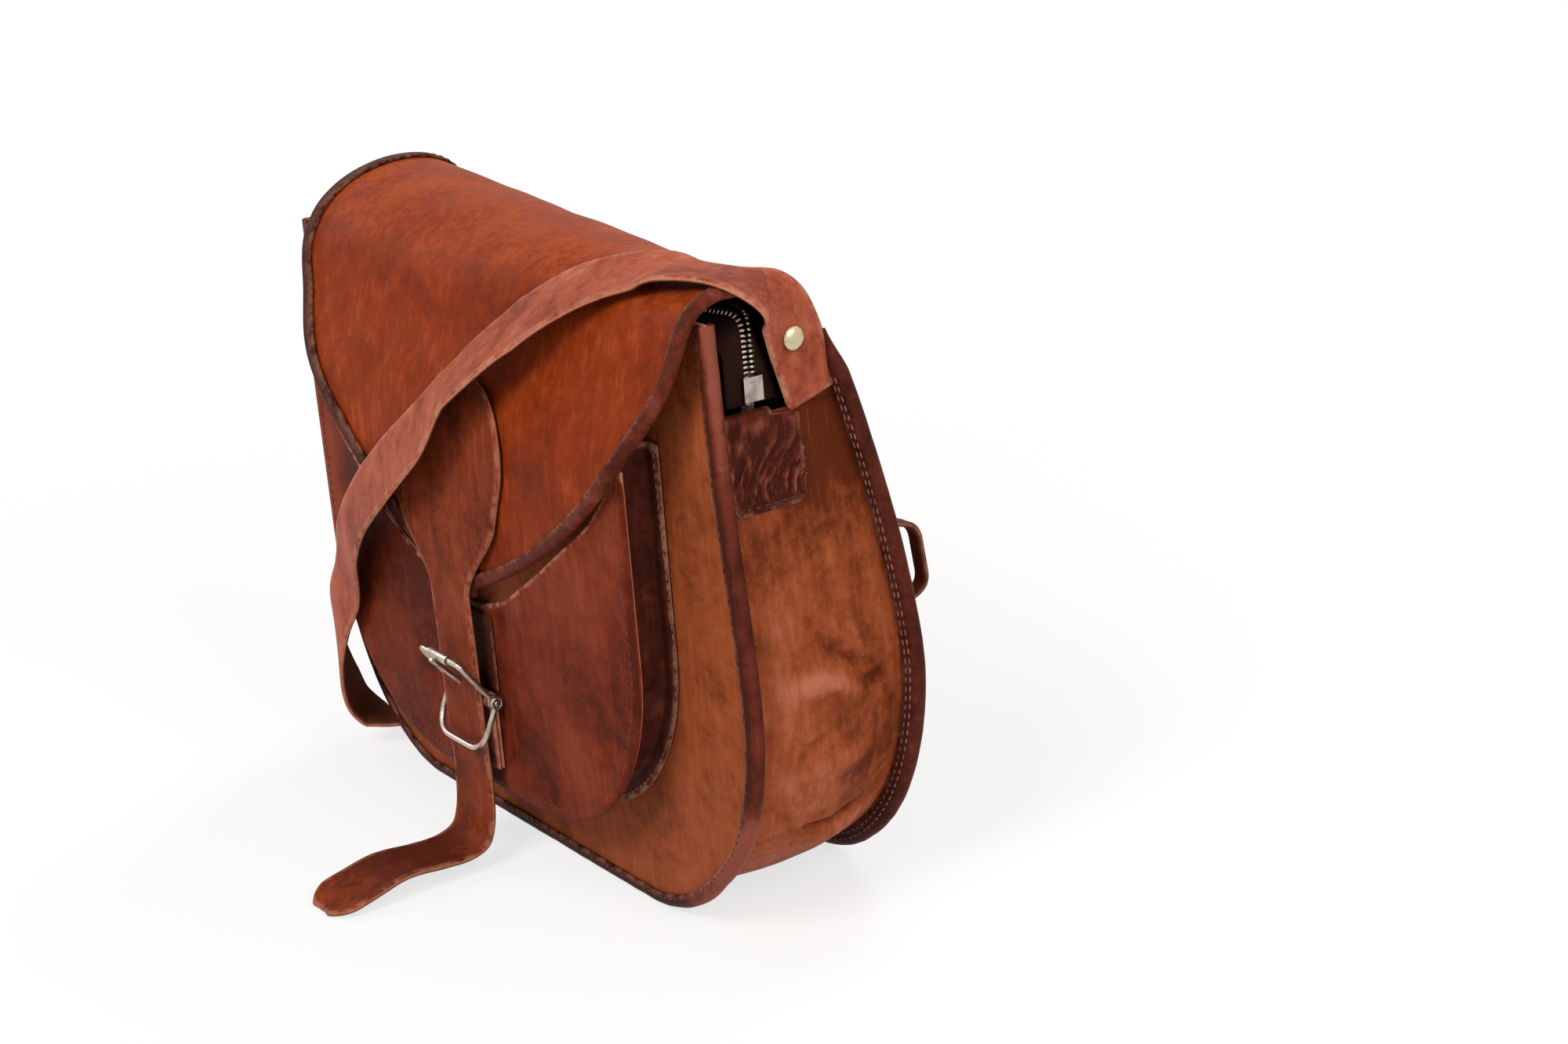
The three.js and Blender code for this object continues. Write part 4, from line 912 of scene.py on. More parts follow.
def cast(node, kind, voxel, rounds, look, body, slot):
    """A model node's metal with its facets worn round, in the node's place."""
    name = "%s_%s" % (node, kind)
    work = bpy.data.objects.new(name + "_work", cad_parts[node].data.copy())
    bpy.context.scene.collection.objects.link(work)
    shell = bmesh.new()
    shell.from_mesh(work.data)
    bmesh.ops.remove_doubles(shell, verts=shell.verts, dist=1e-6)
    shell.to_mesh(work.data)
    shell.free()
    remesh = work.modifiers.new("remesh", "REMESH")
    remesh.mode = "VOXEL"
    remesh.voxel_size = voxel
    soften = work.modifiers.new("soften", "SMOOTH")
    soften.factor = 0.5
    soften.iterations = rounds
    mesh = baked(work)
    bpy.data.objects.remove(work)
    mesh.name = name
    mesh.polygons.foreach_set("use_smooth", np.ones(len(mesh.polygons), bool))
    place_piece(name, mesh, look, body, slot, node)


# Repeats along a path


def repeat_tree(name, shape):
    """A geometry tree that sets one shape at equal steps along a path, sized by the tree's inputs."""
    found = bpy.data.node_groups.get(name)
    if found:
        return found
    tree = bpy.data.node_groups.new(name, "GeometryNodeTree")
    for label, kind in (("Geometry", "Geometry"), ("Pitch", "Float"), ("Long", "Float"), ("Wide", "Float"),
                        ("Material", "Material")):
        tree.interface.new_socket(label, in_out="INPUT", socket_type="NodeSocket" + kind)
    tree.interface.new_socket("Geometry", in_out="OUTPUT", socket_type="NodeSocketGeometry")

    def add(kind, settings=None, links=None, **values):
        """The outputs of a node, with its settings made first, then its sockets set and linked."""
        made = tree.nodes.new(kind)
        for key, value in (settings or {}).items():
            setattr(made, key, value)
        for key, value in values.items():
            made.inputs[key.replace("_", " ")].default_value = value
        for key, value in (links or {}).items():
            for socket in value if isinstance(value, tuple) else (value,):
                tree.links.new(socket, made.inputs[key])
        return made.outputs

    source = add("NodeGroupInput")
    curve = add("GeometryNodeMeshToCurve", links={"Mesh": source["Geometry"]})
    points = add("GeometryNodeResampleCurve", {"mode": "LENGTH"},
                 {"Curve": curve["Curve"], "Length": source["Pitch"]})
    tangent = add("GeometryNodeInputTangent")
    lift = add("GeometryNodeInputNamedAttribute", {"data_type": "FLOAT_VECTOR"}, Name="lift")
    first = add("FunctionNodeAlignRotationToVector", {"axis": "X"}, {"Vector": tangent[0]})
    turn = add("FunctionNodeAlignRotationToVector", {"axis": "Z", "pivot_axis": "X"},
               {"Rotation": first[0], "Vector": lift["Attribute"]})
    size = add("ShaderNodeCombineXYZ", links={"X": source["Long"], "Y": source["Wide"], "Z": source["Wide"]})
    sized = add("GeometryNodeTransform", links={"Geometry": shape(add), "Scale": size[0]})
    copies = add("GeometryNodeInstanceOnPoints",
                 links={"Points": points["Curve"], "Instance": sized[0], "Rotation": turn[0]})
    real = add("GeometryNodeRealizeInstances", links={"Geometry": copies[0]})
    smooth = add("GeometryNodeSetShadeSmooth", links={"Geometry": real[0]})
    painted = add("GeometryNodeSetMaterial", links={"Geometry": smooth[0], "Material": source["Material"]})
    add("NodeGroupOutput", links={"Geometry": painted[0]})
    return tree


def stitch_shape(add):
    """A rounded stitch of unit size."""
    return add("GeometryNodeMeshUVSphere", Segments=sizes()[3].stitch_sides, Rings=5, Radius=0.5)["Mesh"]


def tooth_shape(add):
    """A cast tooth of unit size with a raised nose."""
    block = add("GeometryNodeMeshCube", Vertices_X=2, Vertices_Y=3, Vertices_Z=2, Size=(0.5, 1.0, 0.8))
    nose = add("GeometryNodeMeshUVSphere", Segments=8, Rings=5, Radius=0.36)
    moved = add("GeometryNodeTransform", links={"Geometry": nose["Mesh"]}, Translation=(0.0, 0.42, 0.12))
    return add("GeometryNodeJoinGeometry", links={"Geometry": (block["Mesh"], moved[0])})[0]


def repeat_along(name, rows, tree, steps, look, body, slot, *nodes):
    """Runs a tree along several paths, each with the direction that points away from the surface."""
    points = np.concatenate([line for line, _ in rows])
    lifts = np.concatenate([np.broadcast_to(np.asarray(lift, float), line.shape) for line, lift in rows])
    edges, start = [], 0
    for line, _ in rows:
        edges += [(start + i, start + i + 1) for i in range(len(line) - 1)]
        start += len(line)
    mesh = bpy.data.meshes.new(name)
    mesh.from_pydata(points.tolist(), edges, [])
    attribute = mesh.attributes.new("lift", "FLOAT_VECTOR", "POINT")
    attribute.data.foreach_set("vector", lifts.astype(np.float32).ravel())
    piece = bpy.data.objects.new(name + "_path", mesh)
    bpy.context.scene.collection.objects.link(piece)
    modifier = piece.modifiers.new("repeat", "NODES")
    modifier.node_group = tree
    wanted = dict(zip(("Pitch", "Long", "Wide"), steps), Material=finish(look))
    for item in tree.interface.items_tree:
        if item.in_out == "INPUT" and item.name in wanted:
            modifier[item.identifier] = wanted[item.name]
    result = baked(piece)
    result.name = name
    bpy.data.objects.remove(piece)
    bpy.data.meshes.remove(mesh)
    place_piece(name, result, look, body, slot, *nodes)


def stitches(name, rows, look, body, slot):
    """A seam of stitches on a body."""
    s = sizes()[3]
    steps = (s.stitch_pitch, s.stitch_long, s.stitch_wide)
    repeat_along(name, rows, repeat_tree("seam_stitches", stitch_shape), steps, look, body, slot)


# Panels, gusset and bound edges

# Ways that pieces face, and how far a stitch's middle stands off its leather
FRONT, REAR = (0.0, -1.0, 0.0), (0.0, 1.0, 0.0)
SIDES = (("right", 1), ("left", -1))
THREAD_LIFT = 0.1 * MM
SLACK_EDGE = (12 * MM, 50 * MM)
GUSSET_BEND = 2.0 * MM
# How dark the painted shade is over the gusset's upper back part and on the ears
GUSSET_TOP_SHADE = 0.62
EAR_SLOPE = 0.3
# Distances of the binding's rows of stitches from the panel's edge
FRONT_SEAMS, BACK_SEAMS = (3.6 * MM,), (2.2 * MM, 5.2 * MM)

# Folds of the gusset: a line of (depth, height) in millimetres, its width and its height
GUSSET_CREASES = (
    (((41, 158), (47, 140), (66, 124), (83, 124)), 2.0, -2.4),
    (((44, 162), (52, 146), (70, 131), (84, 131)), 3.5, 2.2),
    (((62, 118), (74, 116), (86, 121)), 2.6, -3.0),
    (((28, 122), (44, 124), (70, 111)), 4.5, 3.4),
    (((30, 112), (48, 114), (66, 102)), 3.0, -2.2),
    (((57, 104), (35, 95), (27, 85)), 2.2, -2.6),
    (((23, 79), (50, 85), (76, 81)), 5.0, 2.6),
    (((34, 52), (54, 49), (72, 55)), 2.3, -6.0),
    (((40, 42), (60, 40), (80, 47)), 3.6, 3.6),
    (((12, 70), (24, 62), (34, 46)), 2.6, -2.2),
    (((14, 162), (10, 145), (11, 120)), 2.2, -1.6),
    (((20, 205), (26, 180), (24, 150)), 4.0, -0.9),
    (((70, 200), (62, 175), (66, 150)), 4.0, 0.9),
)
# The left end's folds are the same, counted forward from a depth, with their heights scaled and raised
LEFT_FOLD_DEPTH, LEFT_FOLD_SCALE, LEFT_FOLD_RISE = 94, 0.94, 6
# Painted highlights, in part rubbed leather, and painted shade on the gusset: (depth, height) and reach in
# millimetres, and how pale
GUSSET_PAINTED_LIGHT_AND_WEAR = (
    ((40, 123), (17, 7), 0.6), ((62, 98), (14, 12), 0.14), ((22, 125), (8, 30), 0.16),
    ((26, 80), (9, 20), 0.16), ((70, 46), (12, 4), 0.5), ((30, 32), (16, 8), 0.12),
    ((76, 118), (9, 4), -0.2), ((60, 76), (14, 6), -0.15), ((40, 64), (12, 5), 0.16),
)


def spread(*values):
    """Points made from one value or array for each axis, whatever their shapes."""
    return np.stack(np.broadcast_arrays(*values), axis=-1)


def ribbon(line, normal, side, offset, lift):
    """Grid of a strip: its middle line, moved sideways by the offsets and off its face by the lift."""
    lift = np.asarray(lift, float)[..., None]
    return line[:, None, :] + np.asarray(side, float) * offset[..., None] + normal[:, None, :] * lift


def panel_grid(top, depth_at):
    """Grid of a panel from its bottom to a height."""
    shape = panel_outline()
    z = shape.heights(top, 80, 44)[:, None]
    x = shape.half(z) * np.linspace(-1, 1, PANEL_COLUMNS)
    return spread(x, depth_at(x, z), z)


class SATCHEL_OT_panels(bpy.types.Operator):
    """Front and back panels of soft leather"""

    bl_idname = "satchel.panels"
    bl_label = "Panels"

    def execute(self, context):
        b = sizes()[0]
        grid = panel_grid(b.top, lambda x, z: 0.0)
        grid[..., 0] += front_swell(grid[..., 0], grid[..., 2])
        near, _ = edge_distance(grid)
        swell = ease(near, 10 * MM, 30 * MM) * ease(np.abs(grid[..., 0]), 135 * MM, 165 * MM)
        grid[..., 1] -= swell * (0.7 + 0.5 * rumple(grid, 22.0, 3.0)) * MM
        lay("front_panel", grid, b.panel_t, FRONT, "panel leather", "bag", "panel_leather")
        grid = panel_grid(b.hinge_z - b.gap, back_face)
        near, _ = edge_distance(grid)
        grid[..., 1] += ease(near, *SLACK_EDGE) * (1.2 * rumple(grid, 14.0, 9.0) - 0.6) * MM
        lay("back_panel", grid, b.panel_t, REAR, "back leather", "bag", "gusset_leather")
        return {"FINISHED"}


def flanged(tip, front, back, bend, steps, count):
    """Section of a strip with both edges turned out: how far out, how deep, and the share across."""
    corners = [(tip, front, 0), (0, front, 0), (0, lerp(front, back, 0.5), 0)]
    edge = round_corners(corners, bend, steps)[:-1, :2]
    web = np.stack([np.zeros(count), np.linspace(front + bend, back - bend, count)], axis=1)[1:-1]
    section = np.concatenate([edge, web, (edge * (1, -1) + (0, front + back))[::-1]])
    across = np.clip((section[:, 1] - front) / (back - front), 0, 1)
    return section[:, 0], section[:, 1], across


def flange_facing(normals, out, across, bend):
    """Which way a flanged strip's good side faces: outward on its web, inward on its flanges."""
    turned = np.where(out > bend, np.where(across < 0.5, 9.0, -9.0), 0.0)
    return spread(normals[:, :1], turned, normals[:, 1:])


def gusset_grid():
    """Outer side of the gusset with its facing and its painted light and shade: a slumped web between two
    flanges.
    """
    b = sizes()[0]
    line, normals = panel_outline().path(b.gusset_top, GUSSET_ROWS, b.flange)
    front, back = b.panel_t + b.gap + b.gusset_t, b.depth - b.panel_t - b.gap - b.gusset_t
    out, depth, across = flanged(b.flange - b.gap, front, back, GUSSET_BEND, 6, 46)
    x0, z0 = line[:, :1], line[:, 1:]
    arch = np.sin(np.pi * across) ** 0.8 * (out < b.flange * 0.3)
    low = ease(z0, 200 * MM, 50 * MM)
    under = ease(-normals[:, 1:], 0.5, 0.95)
    place = spread(depth, z0) / MM
    folds = np.zeros(place.shape[:-1])
    for stops, width, height in GUSSET_CREASES:
        left = tuple((LEFT_FOLD_DEPTH - y, z * LEFT_FOLD_SCALE + LEFT_FOLD_RISE) for y, z in stops)
        folds += np.where(x0 > 0, crease(place, stops, width), crease(place, left, width)) * height
    rough = spread(x0, depth, z0)
    uneven = (rumple(rough, 26.0, 5.0) * 1.5 * (0.3 + low) + rumple(rough, 70.0, 2.0) * 0.5) * arch
    total = (out + arch * (b.slump * low + 1.0 * MM) * (1 - 0.35 * under)
             + (folds * np.minimum(1, 2.2 * arch) * (1 - under) + uneven) * MM)
    # Painted shade over the upper part toward the back, where the gusset's top lies in shadow
    top_shade = GUSSET_TOP_SHADE * ease(z0, 165 * MM, 225 * MM) * ease(depth, 20 * MM, 55 * MM)
    # Painted highlights and painted shade from the table above, the pale ones in part rubbed leather
    worn = sum(amount * np.exp(-np.sum(((place - at) / reach) ** 2, axis=-1))
               for at, reach, amount in GUSSET_PAINTED_LIGHT_AND_WEAR)
    # Painted light and shade: lighter on the folds' ridges and raised dents, darker in their creases and
    # hollows, with the listed patches and the shade at the top, and none on the underside
    relief = (folds * 0.08 + uneven * 0.22 + worn - top_shade) * (1 - under)
    x = x0 + normals[:, :1] * total
    z = z0 + normals[:, 1:] * total
    x = x + front_swell(x, z) * (1 - across)
    facing = flange_facing(normals, out, across, GUSSET_BEND)
    return spread(x, depth - across * back_lean(x, z), z), facing, relief


class SATCHEL_OT_gusset(bpy.types.Operator):
    """Gusset that slumps and creases, with the ears that carry the strap"""

    bl_idname = "satchel.gusset"
    bl_label = "Gusset"

    def execute(self, context):
        b = sizes()[0]
        grid, facing, relief = gusset_grid()
        lay("gusset", grid, b.gusset_t, facing, "gusset leather", "bag", "gusset_leather", relief, worn=0.0)
        half, top = b.ear_width / 2, b.gusset_top + b.ear_rise
        straight = np.linspace(b.gusset_top - 0.2 * MM, top - half, 24)
        z = np.concatenate([straight, top - half + half * np.sin(np.linspace(0.06, 1.45, 14))])
        width = half * np.sqrt(np.clip(1 - (np.clip(z - top + half, 0, None) / half) ** 2, 0.01, 1))
        for name, side in SIDES:
            rear = back_face(side * web_outer(), z) - b.panel_t - 2 * b.gap - b.gusset_t
            low = ease(z, b.hinge_z, b.gusset_top + 4 * MM)
            rear = lerp(b.ear_y + width, np.maximum(rear, b.ear_y + width), low)
            front = b.ear_y - width + (EAR_SLOPE * (top - z) + 1 * MM if side > 0 else 0)
            y = lerp(front[:, None], rear[:, None], np.linspace(0, 1, 21))
            grid = spread(side * web_outer(), y, z[:, None])
            # Painted shade: the ears are painted as dark as the shade over the gusset's upper back part
            lay_extra("strap_ear_" + name, grid, b.gusset_t, (side, 0, 0), "gusset leather", "gusset_leather",
                      relief=-GUSSET_TOP_SHADE, worn=0.0)
        return {"FINISHED"}


def folded_section(near, far, leg):
    """Section of a strip folded round an edge, as (outward, depth), and its distance from the cut edges."""
    b, s = sizes()[0], seam()
    middle, half = (near + far) / 2, (far - near) / 2 + s
    reach = min(half, leg * 0.7)

    def shoulder(depth, sign):
        return [(-leg, depth - sign * 0.25 * MM), (-leg + 0.5 * MM, depth),
                (-leg * 0.66, depth + sign * 0.15 * MM), (-leg * 0.42, depth)]

    nose = [(s - reach + reach * math.cos(angle), middle + half * math.sin(angle))
            for angle in np.linspace(-1.57, 1.57, 13)]
    outer = np.array(shoulder(middle - half, -1) + nose + shoulder(middle + half, 1)[::-1])
    inner = [(-leg, far + b.gap), (b.gap / 2, far + b.gap), (b.gap / 2, near - b.gap), (-leg, near - b.gap)]
    edge = np.minimum(np.abs(outer[:, 0] + leg), 8 * MM)
    return np.concatenate([outer, inner]), np.concatenate([edge, np.zeros(len(inner))])


def bound_rings(line, normals, near, far, leg):
    """Rings of a binding round a panel's edge."""
    b = sizes()[0]
    section, edge = folded_section(near, far, leg)
    at_back = near > b.depth / 2
    spot = spread(line[:, 0], near, line[:, 1])
    wave = (0.35 * rumple(spot, 34.0, 1.5) + 0.25 * rumple(spot, 120.0, 4.0)) * MM
    out = section[:, 0] + wave[:, None] * (section[:, 0] > -6 * MM)
    depth = section[:, 1]
    if at_back:
        horn = 0.8 * ease(line[:, 1:], b.hinge_z - 6 * MM, b.hinge_z + b.back_horn)
        out = lerp(out, -0.6 * leg, horn)
        depth = lerp(depth, section[:, 1].mean(), horn) + 1 * MM * horn
    x = line[:, :1] + normals[:, :1] * out
    z = np.maximum(line[:, 1:] + normals[:, 1:] * out, 0.0)
    if at_back:
        return spread(x, depth - back_lean(x, z), z), edge
    return spread(x + front_swell(x, z), depth, z), edge


def seam_row(line, normals, inset, depth, lift):
    """A row of stitches on an upright face, moved with the front's bow or the back's lean."""
    x, z = (line - normals * inset).T
    if depth > sizes()[0].depth / 2:
        return spread(x, depth - back_lean(x, z), z), lift
    return spread(x + front_swell(x, z), depth, z), lift


class SATCHEL_OT_bindings(bpy.types.Operator):
    """Folded strips that bind the front and back edges, with their seams"""

    bl_idname = "satchel.bindings"
    bl_label = "Bound edges"

    def execute(self, context):
        b = sizes()[0]
        sewn = b.panel_t + b.gap + b.gusset_t
        self.bind("front", b.top, 0.0, sewn, b.slim_leg, FRONT_SEAMS, "dark thread",
                  "front binding leather", 1.0)
        self.bind("back", b.hinge_z + b.back_horn, b.depth - sewn, b.depth, b.leg, BACK_SEAMS, "pale thread",
                  "binding leather", 0.0)
        return {"FINISHED"}

    def bind(self, name, top, near, far, leg, insets, twine, look, painted_shading_and_rub):
        """One panel's binding and its stitches, with painted light and shade if asked for: a painted
        highlight along the ridge of its fold, stronger higher up, and painted shade on the side that faces
        the gusset, darker toward the bottom with painted shade at its foot, and a pale rubbed lower corner.
        """
        b = sizes()[0]
        line, normals = panel_outline().path(top, BINDING_ROWS)
        if name == "back":
            bound = (line[:, 0] > 0) | (line[:, 1] < b.hinge_z - b.gap)
            line, normals = line[bound], normals[bound]
        rings, edge = bound_rings(line, normals, near, far, leg)
        x, z = line[:, :1], line[:, 1:]
        # Painted light and shade on the front binding: highlight on the ridge, shade on the gusset side,
        # darker low down and at the foot; rub is a worn pale corner
        high, low = ease(z, 170 * MM, 270 * MM), ease(z, 60 * MM, 20 * MM)
        fold = np.concatenate([np.zeros(4), np.cos(np.linspace(-1.6, 2.2, 13)),
                               np.linspace(-0.9, -0.2, 4), np.zeros(4)])
        rub = ease(x, 110 * MM, 150 * MM) * ease(z, 85 * MM, 50 * MM)
        relief = painted_shading_and_rub * (fold * lerp(0.35, 0.8, high) - 0.6 + 0.6 * high - 0.5 * low + 1.4 * rub)
        place_piece(name + "_binding_strip", tube(name + "_binding", rings, edge, relief), look,
                    "bag", "binding_leather", name + "_binding")
        sewn = line[:, 1] < min(top, b.hinge_z) - 8 * MM
        line, normals = line[sewn], normals[sewn]
        rows = []
        for inset in insets:
            rows.append(seam_row(line, normals, inset, near - seam() - THREAD_LIFT, FRONT))
            rows.append(seam_row(line, normals, inset, far + seam() + THREAD_LIFT, REAR))
        stitches(name + "_binding_stitches", rows, twine, "bag", "binding_leather")


# Flap and closure strap

# How much lighter the flap is painted where it faces up, as painted sheen on its crown
CROWN_SHEEN = 0.36
# How much wider the flap's binding is at its left end, and how much darker
LEFT_WIDER, LEFT_DARKER = 2.1, 0.5
# The loose end: shares of the strap's length where it loosens and is dark, and how it rolls
TAIL_LOOSE, TAIL_DARK, TAIL_END = (0.72, 0.86), (0.68, 0.82), (0.99, 0.88)
TAIL_SHADE, TAIL_ROLL, TAIL_TWISTS = 0.5, 0.05, 55.0
TAB_SEAM_INSET, TAB_SEAM_SHARE = 5 * MM, 0.30
# The tail on the floor: shares of its reach and of its lift
TAIL_WAVES = ((0, 1.5), (0.11, 1), (0.3, 0.95), (0.55, 1.15), (0.78, 0.6), (1, 0))


class SATCHEL_OT_flap(bpy.types.Operator):
    """Flap in one curved sheet, with its bound edge"""

    bl_idname = "satchel.flap"
    bl_label = "Flap"

    def execute(self, context):
        f = sizes()[1]
        t = 1 - (1 - np.linspace(0, 1, FLAP_ROWS)) ** 1.25
        x = lerp(flap_half(t, -1)[:, None], flap_half(t, 1)[:, None], np.linspace(0, 1, FLAP_COLUMNS))
        grid, normals = flap_frame(x, t[:, None])
        near, _ = edge_distance(grid)
        dent = ease(near, *SLACK_EDGE) * (1.3 * rumple(grid, 13.0, 7.0) + 0.5 * rumple(grid, 34.0, 1.0)) * MM
        grid = grid + normals * (f.thickness + np.minimum(dent, 0.8 * MM))[..., None]
        # Painted sheen: lighter where the flap faces up
        crown = CROWN_SHEEN * ease(normals[..., 2], 0.5, 0.95)
        lay("flap", grid, f.thickness, normals, "flap leather", "flap", "flap_leather", crown)
        self.bind(t)
        return {"FINISHED"}

    def edge_line(self, t):
        """Evenly spaced places round the flap's free edge, across and along its profile."""
        f = sizes()[1]
        middle = flap_frame(np.zeros_like(t), t)[0]
        bound = t[np.linalg.norm(middle - middle[0], axis=1) >= f.setback]
        tip = np.linspace(1, -1, 14)[1:-1] * f.tip_half
        xs = np.concatenate([flap_half(bound, 1), tip, flap_half(bound, -1)[::-1]])
        ts = np.concatenate([bound, np.ones(len(tip)), bound[::-1]])
        line = flap_at(xs, ts, np.full(len(xs), f.thickness / 2))
        _, places = even(line, FLAP_EDGE_ROWS, np.stack([xs, ts], axis=1))
        return places.T

    def bind(self, t):
        """The folded strip round the flap's edge, wider at the left, and its stitches."""
        b, f, _, _ = sizes()
        xs, ts = self.edge_line(t)
        line, normal = flap_frame(xs, ts)
        side = unit(np.cross(normal, unit(np.gradient(line, axis=0))))
        padded = np.pad(side, ((3, 3), (0, 0)), mode="edge")
        side = unit(np.stack([np.convolve(column, np.ones(7) / 7, "valid") for column in padded.T], axis=1))
        down = spread(0.0, -normal[:, 2], normal[:, 1])
        fall = np.sum(side * down, axis=1)

        def moved(out, height):
            lifted = flap_at(xs + side[:, 0] * out, ts, np.full(len(xs), f.thickness / 2) + height)
            return lifted + down * (fall * out)[:, None]

        section, edge = folded_section(-f.thickness / 2, f.thickness / 2, 0.8 * b.slim_leg)
        wave = 0.3 * MM * rumple(line, 40.0, 2.0)
        wider = lerp(LEFT_WIDER, 1.0, ease(xs, -80 * MM, 80 * MM))
        rings = np.stack([moved(out * (wider if out < -2 * MM else 1) + wave, height)
                          for out, height in section], axis=1)
        shade = -LEFT_DARKER * ease(-xs, 0.0, 100 * MM)[:, None]
        place_piece("flap_binding_strip", tube("flap_binding", rings, edge, shade), "flap binding leather",
                    "flap", "binding_leather", "flap_binding")
        lift, inset = f.thickness / 2 + seam() + THREAD_LIFT, 2.9 * MM * wider
        rows = [(moved(-inset, lift), normal), (moved(-inset, -lift), -normal)]
        stitches("flap_stitches", rows, "dark thread", "flap", "binding_leather")


def closure_y():
    """Depth of the closure strap's middle where it runs over the buckle's bar."""
    b, f, p, s = sizes()
    fold = s.bar_r + s.wire_clearance + s.chape_t
    return -p.depth - 2 * b.gap - 2 * fold - f.strap_t / 2


def closure_rows():
    """Centre line of the closure strap with its normals, half widths, sideways lean and length so far."""
    b, f, _, s = sizes()
    t = np.linspace(0, 1, 11)
    lift = f.thickness + b.gap + f.strap_t / 2 + (seam() + b.gap) * ease(t, 0.4, 0.85)
    on_flap = flap_at(np.zeros(11), lerp(flap_share(0.0, f.tab_top), 1, t), lift)
    y, floor = closure_y(), f.strap_t / 2 + b.gap
    hanging = [(0, y, s.bar_z + s.frame_reach), (0, y, s.bar_z), (0, y + 0.4 * MM, s.bar_z - s.keeper_drop),
               (0, y + 0.6 * MM, s.bar_z / 2), (0, y - f.strap_t / 2, s.bar_z / 4)]
    lying = [(0, y - 2 * f.strap_t - f.tail * way, floor + f.tail_lift * rise)
             for way, rise in TAIL_WAVES]
    route = spline(np.concatenate([on_flap, hanging, lying]), np.linspace(0, 1, 3 * CLOSURE_ROWS))
    line = even(route, CLOSURE_ROWS)
    along = unit(np.gradient(line, axis=0))
    normal = spread(0.0, along[:, 2], -along[:, 1])
    walked = arc(line)
    z = np.where(walked < walked[-1] * 0.75, line[:, 2], 0)
    wide = ease(z, f.tip_z - seam(), f.tip_z + f.tab_neck)
    lean = f.tab_lean * ease(z, f.tip_z + f.tab_neck / 2, f.tab_top)
    short = np.clip(1 - (walked[-1] - walked + 1 * MM) / (f.closure_half * 0.8), 0, 1)
    tip = np.sqrt(np.clip(1 - short ** 2, 0.04, 1))
    head = np.sqrt(1 - 0.97 * np.clip(1 - walked / f.tab_round, 0, 1) ** 2)
    return line, normal, lerp(f.closure_half, f.tab_half, wide) * tip * head, lean, walked


class SATCHEL_OT_closure(bpy.types.Operator):
    """Closure strap: a sewn tab that narrows to a strap, and a tail on the floor"""

    bl_idname = "satchel.closure"
    bl_label = "Closure strap"

    def execute(self, context):
        f = sizes()[1]
        line, normal, half, lean, walked = closure_rows()
        done = (walked / walked[-1])[:, None]
        across = np.linspace(-1, 1, 31)
        x = lean[:, None] + half[:, None] * across
        loose = ease(done, *TAIL_LOOSE)
        roll = loose * np.sin(walked * TAIL_TWISTS)[:, None] * TAIL_ROLL
        curl = np.maximum(x * roll, -0.3 * MM) + 1.0 * MM * loose * across ** 2
        shade = -TAIL_SHADE * ease(done, *TAIL_DARK) * ease(done, *TAIL_END)
        lay("closure_strap", ribbon(line, normal, (1, 0, 0), x, f.strap_t / 2 + curl), f.strap_t,
            normal[:, None, :], "closure leather", "flap", "strap_leather", shade)
        sewn = (walked < walked[-1] * TAB_SEAM_SHARE) & (half > 3 * TAB_SEAM_INSET)
        rows = []
        for way in (1, -1):
            points = line[sewn] + normal[sewn] * (f.strap_t / 2 + THREAD_LIFT)
            points[:, 0] = lean[sewn] + way * (half[sewn] - TAB_SEAM_INSET)
            rows.append((points, normal[sewn]))
        stitches("tab_stitches", rows, "dark thread", "flap", "strap_leather")
        return {"FINISHED"}


# Pocket

POCKET_BEND = 1.6 * MM
POCKET_SIDE_RISE = 16 * MM
POCKET_CROWD = 0.985 * math.pi / 2
FLANGE_SEAM, POCKET_SEAM = 2.2 * MM, 6.5 * MM
LINING_T, LINING_BAND, LINING_HALF = 1.0 * MM, (-14 * MM, 11 * MM), 135 * MM


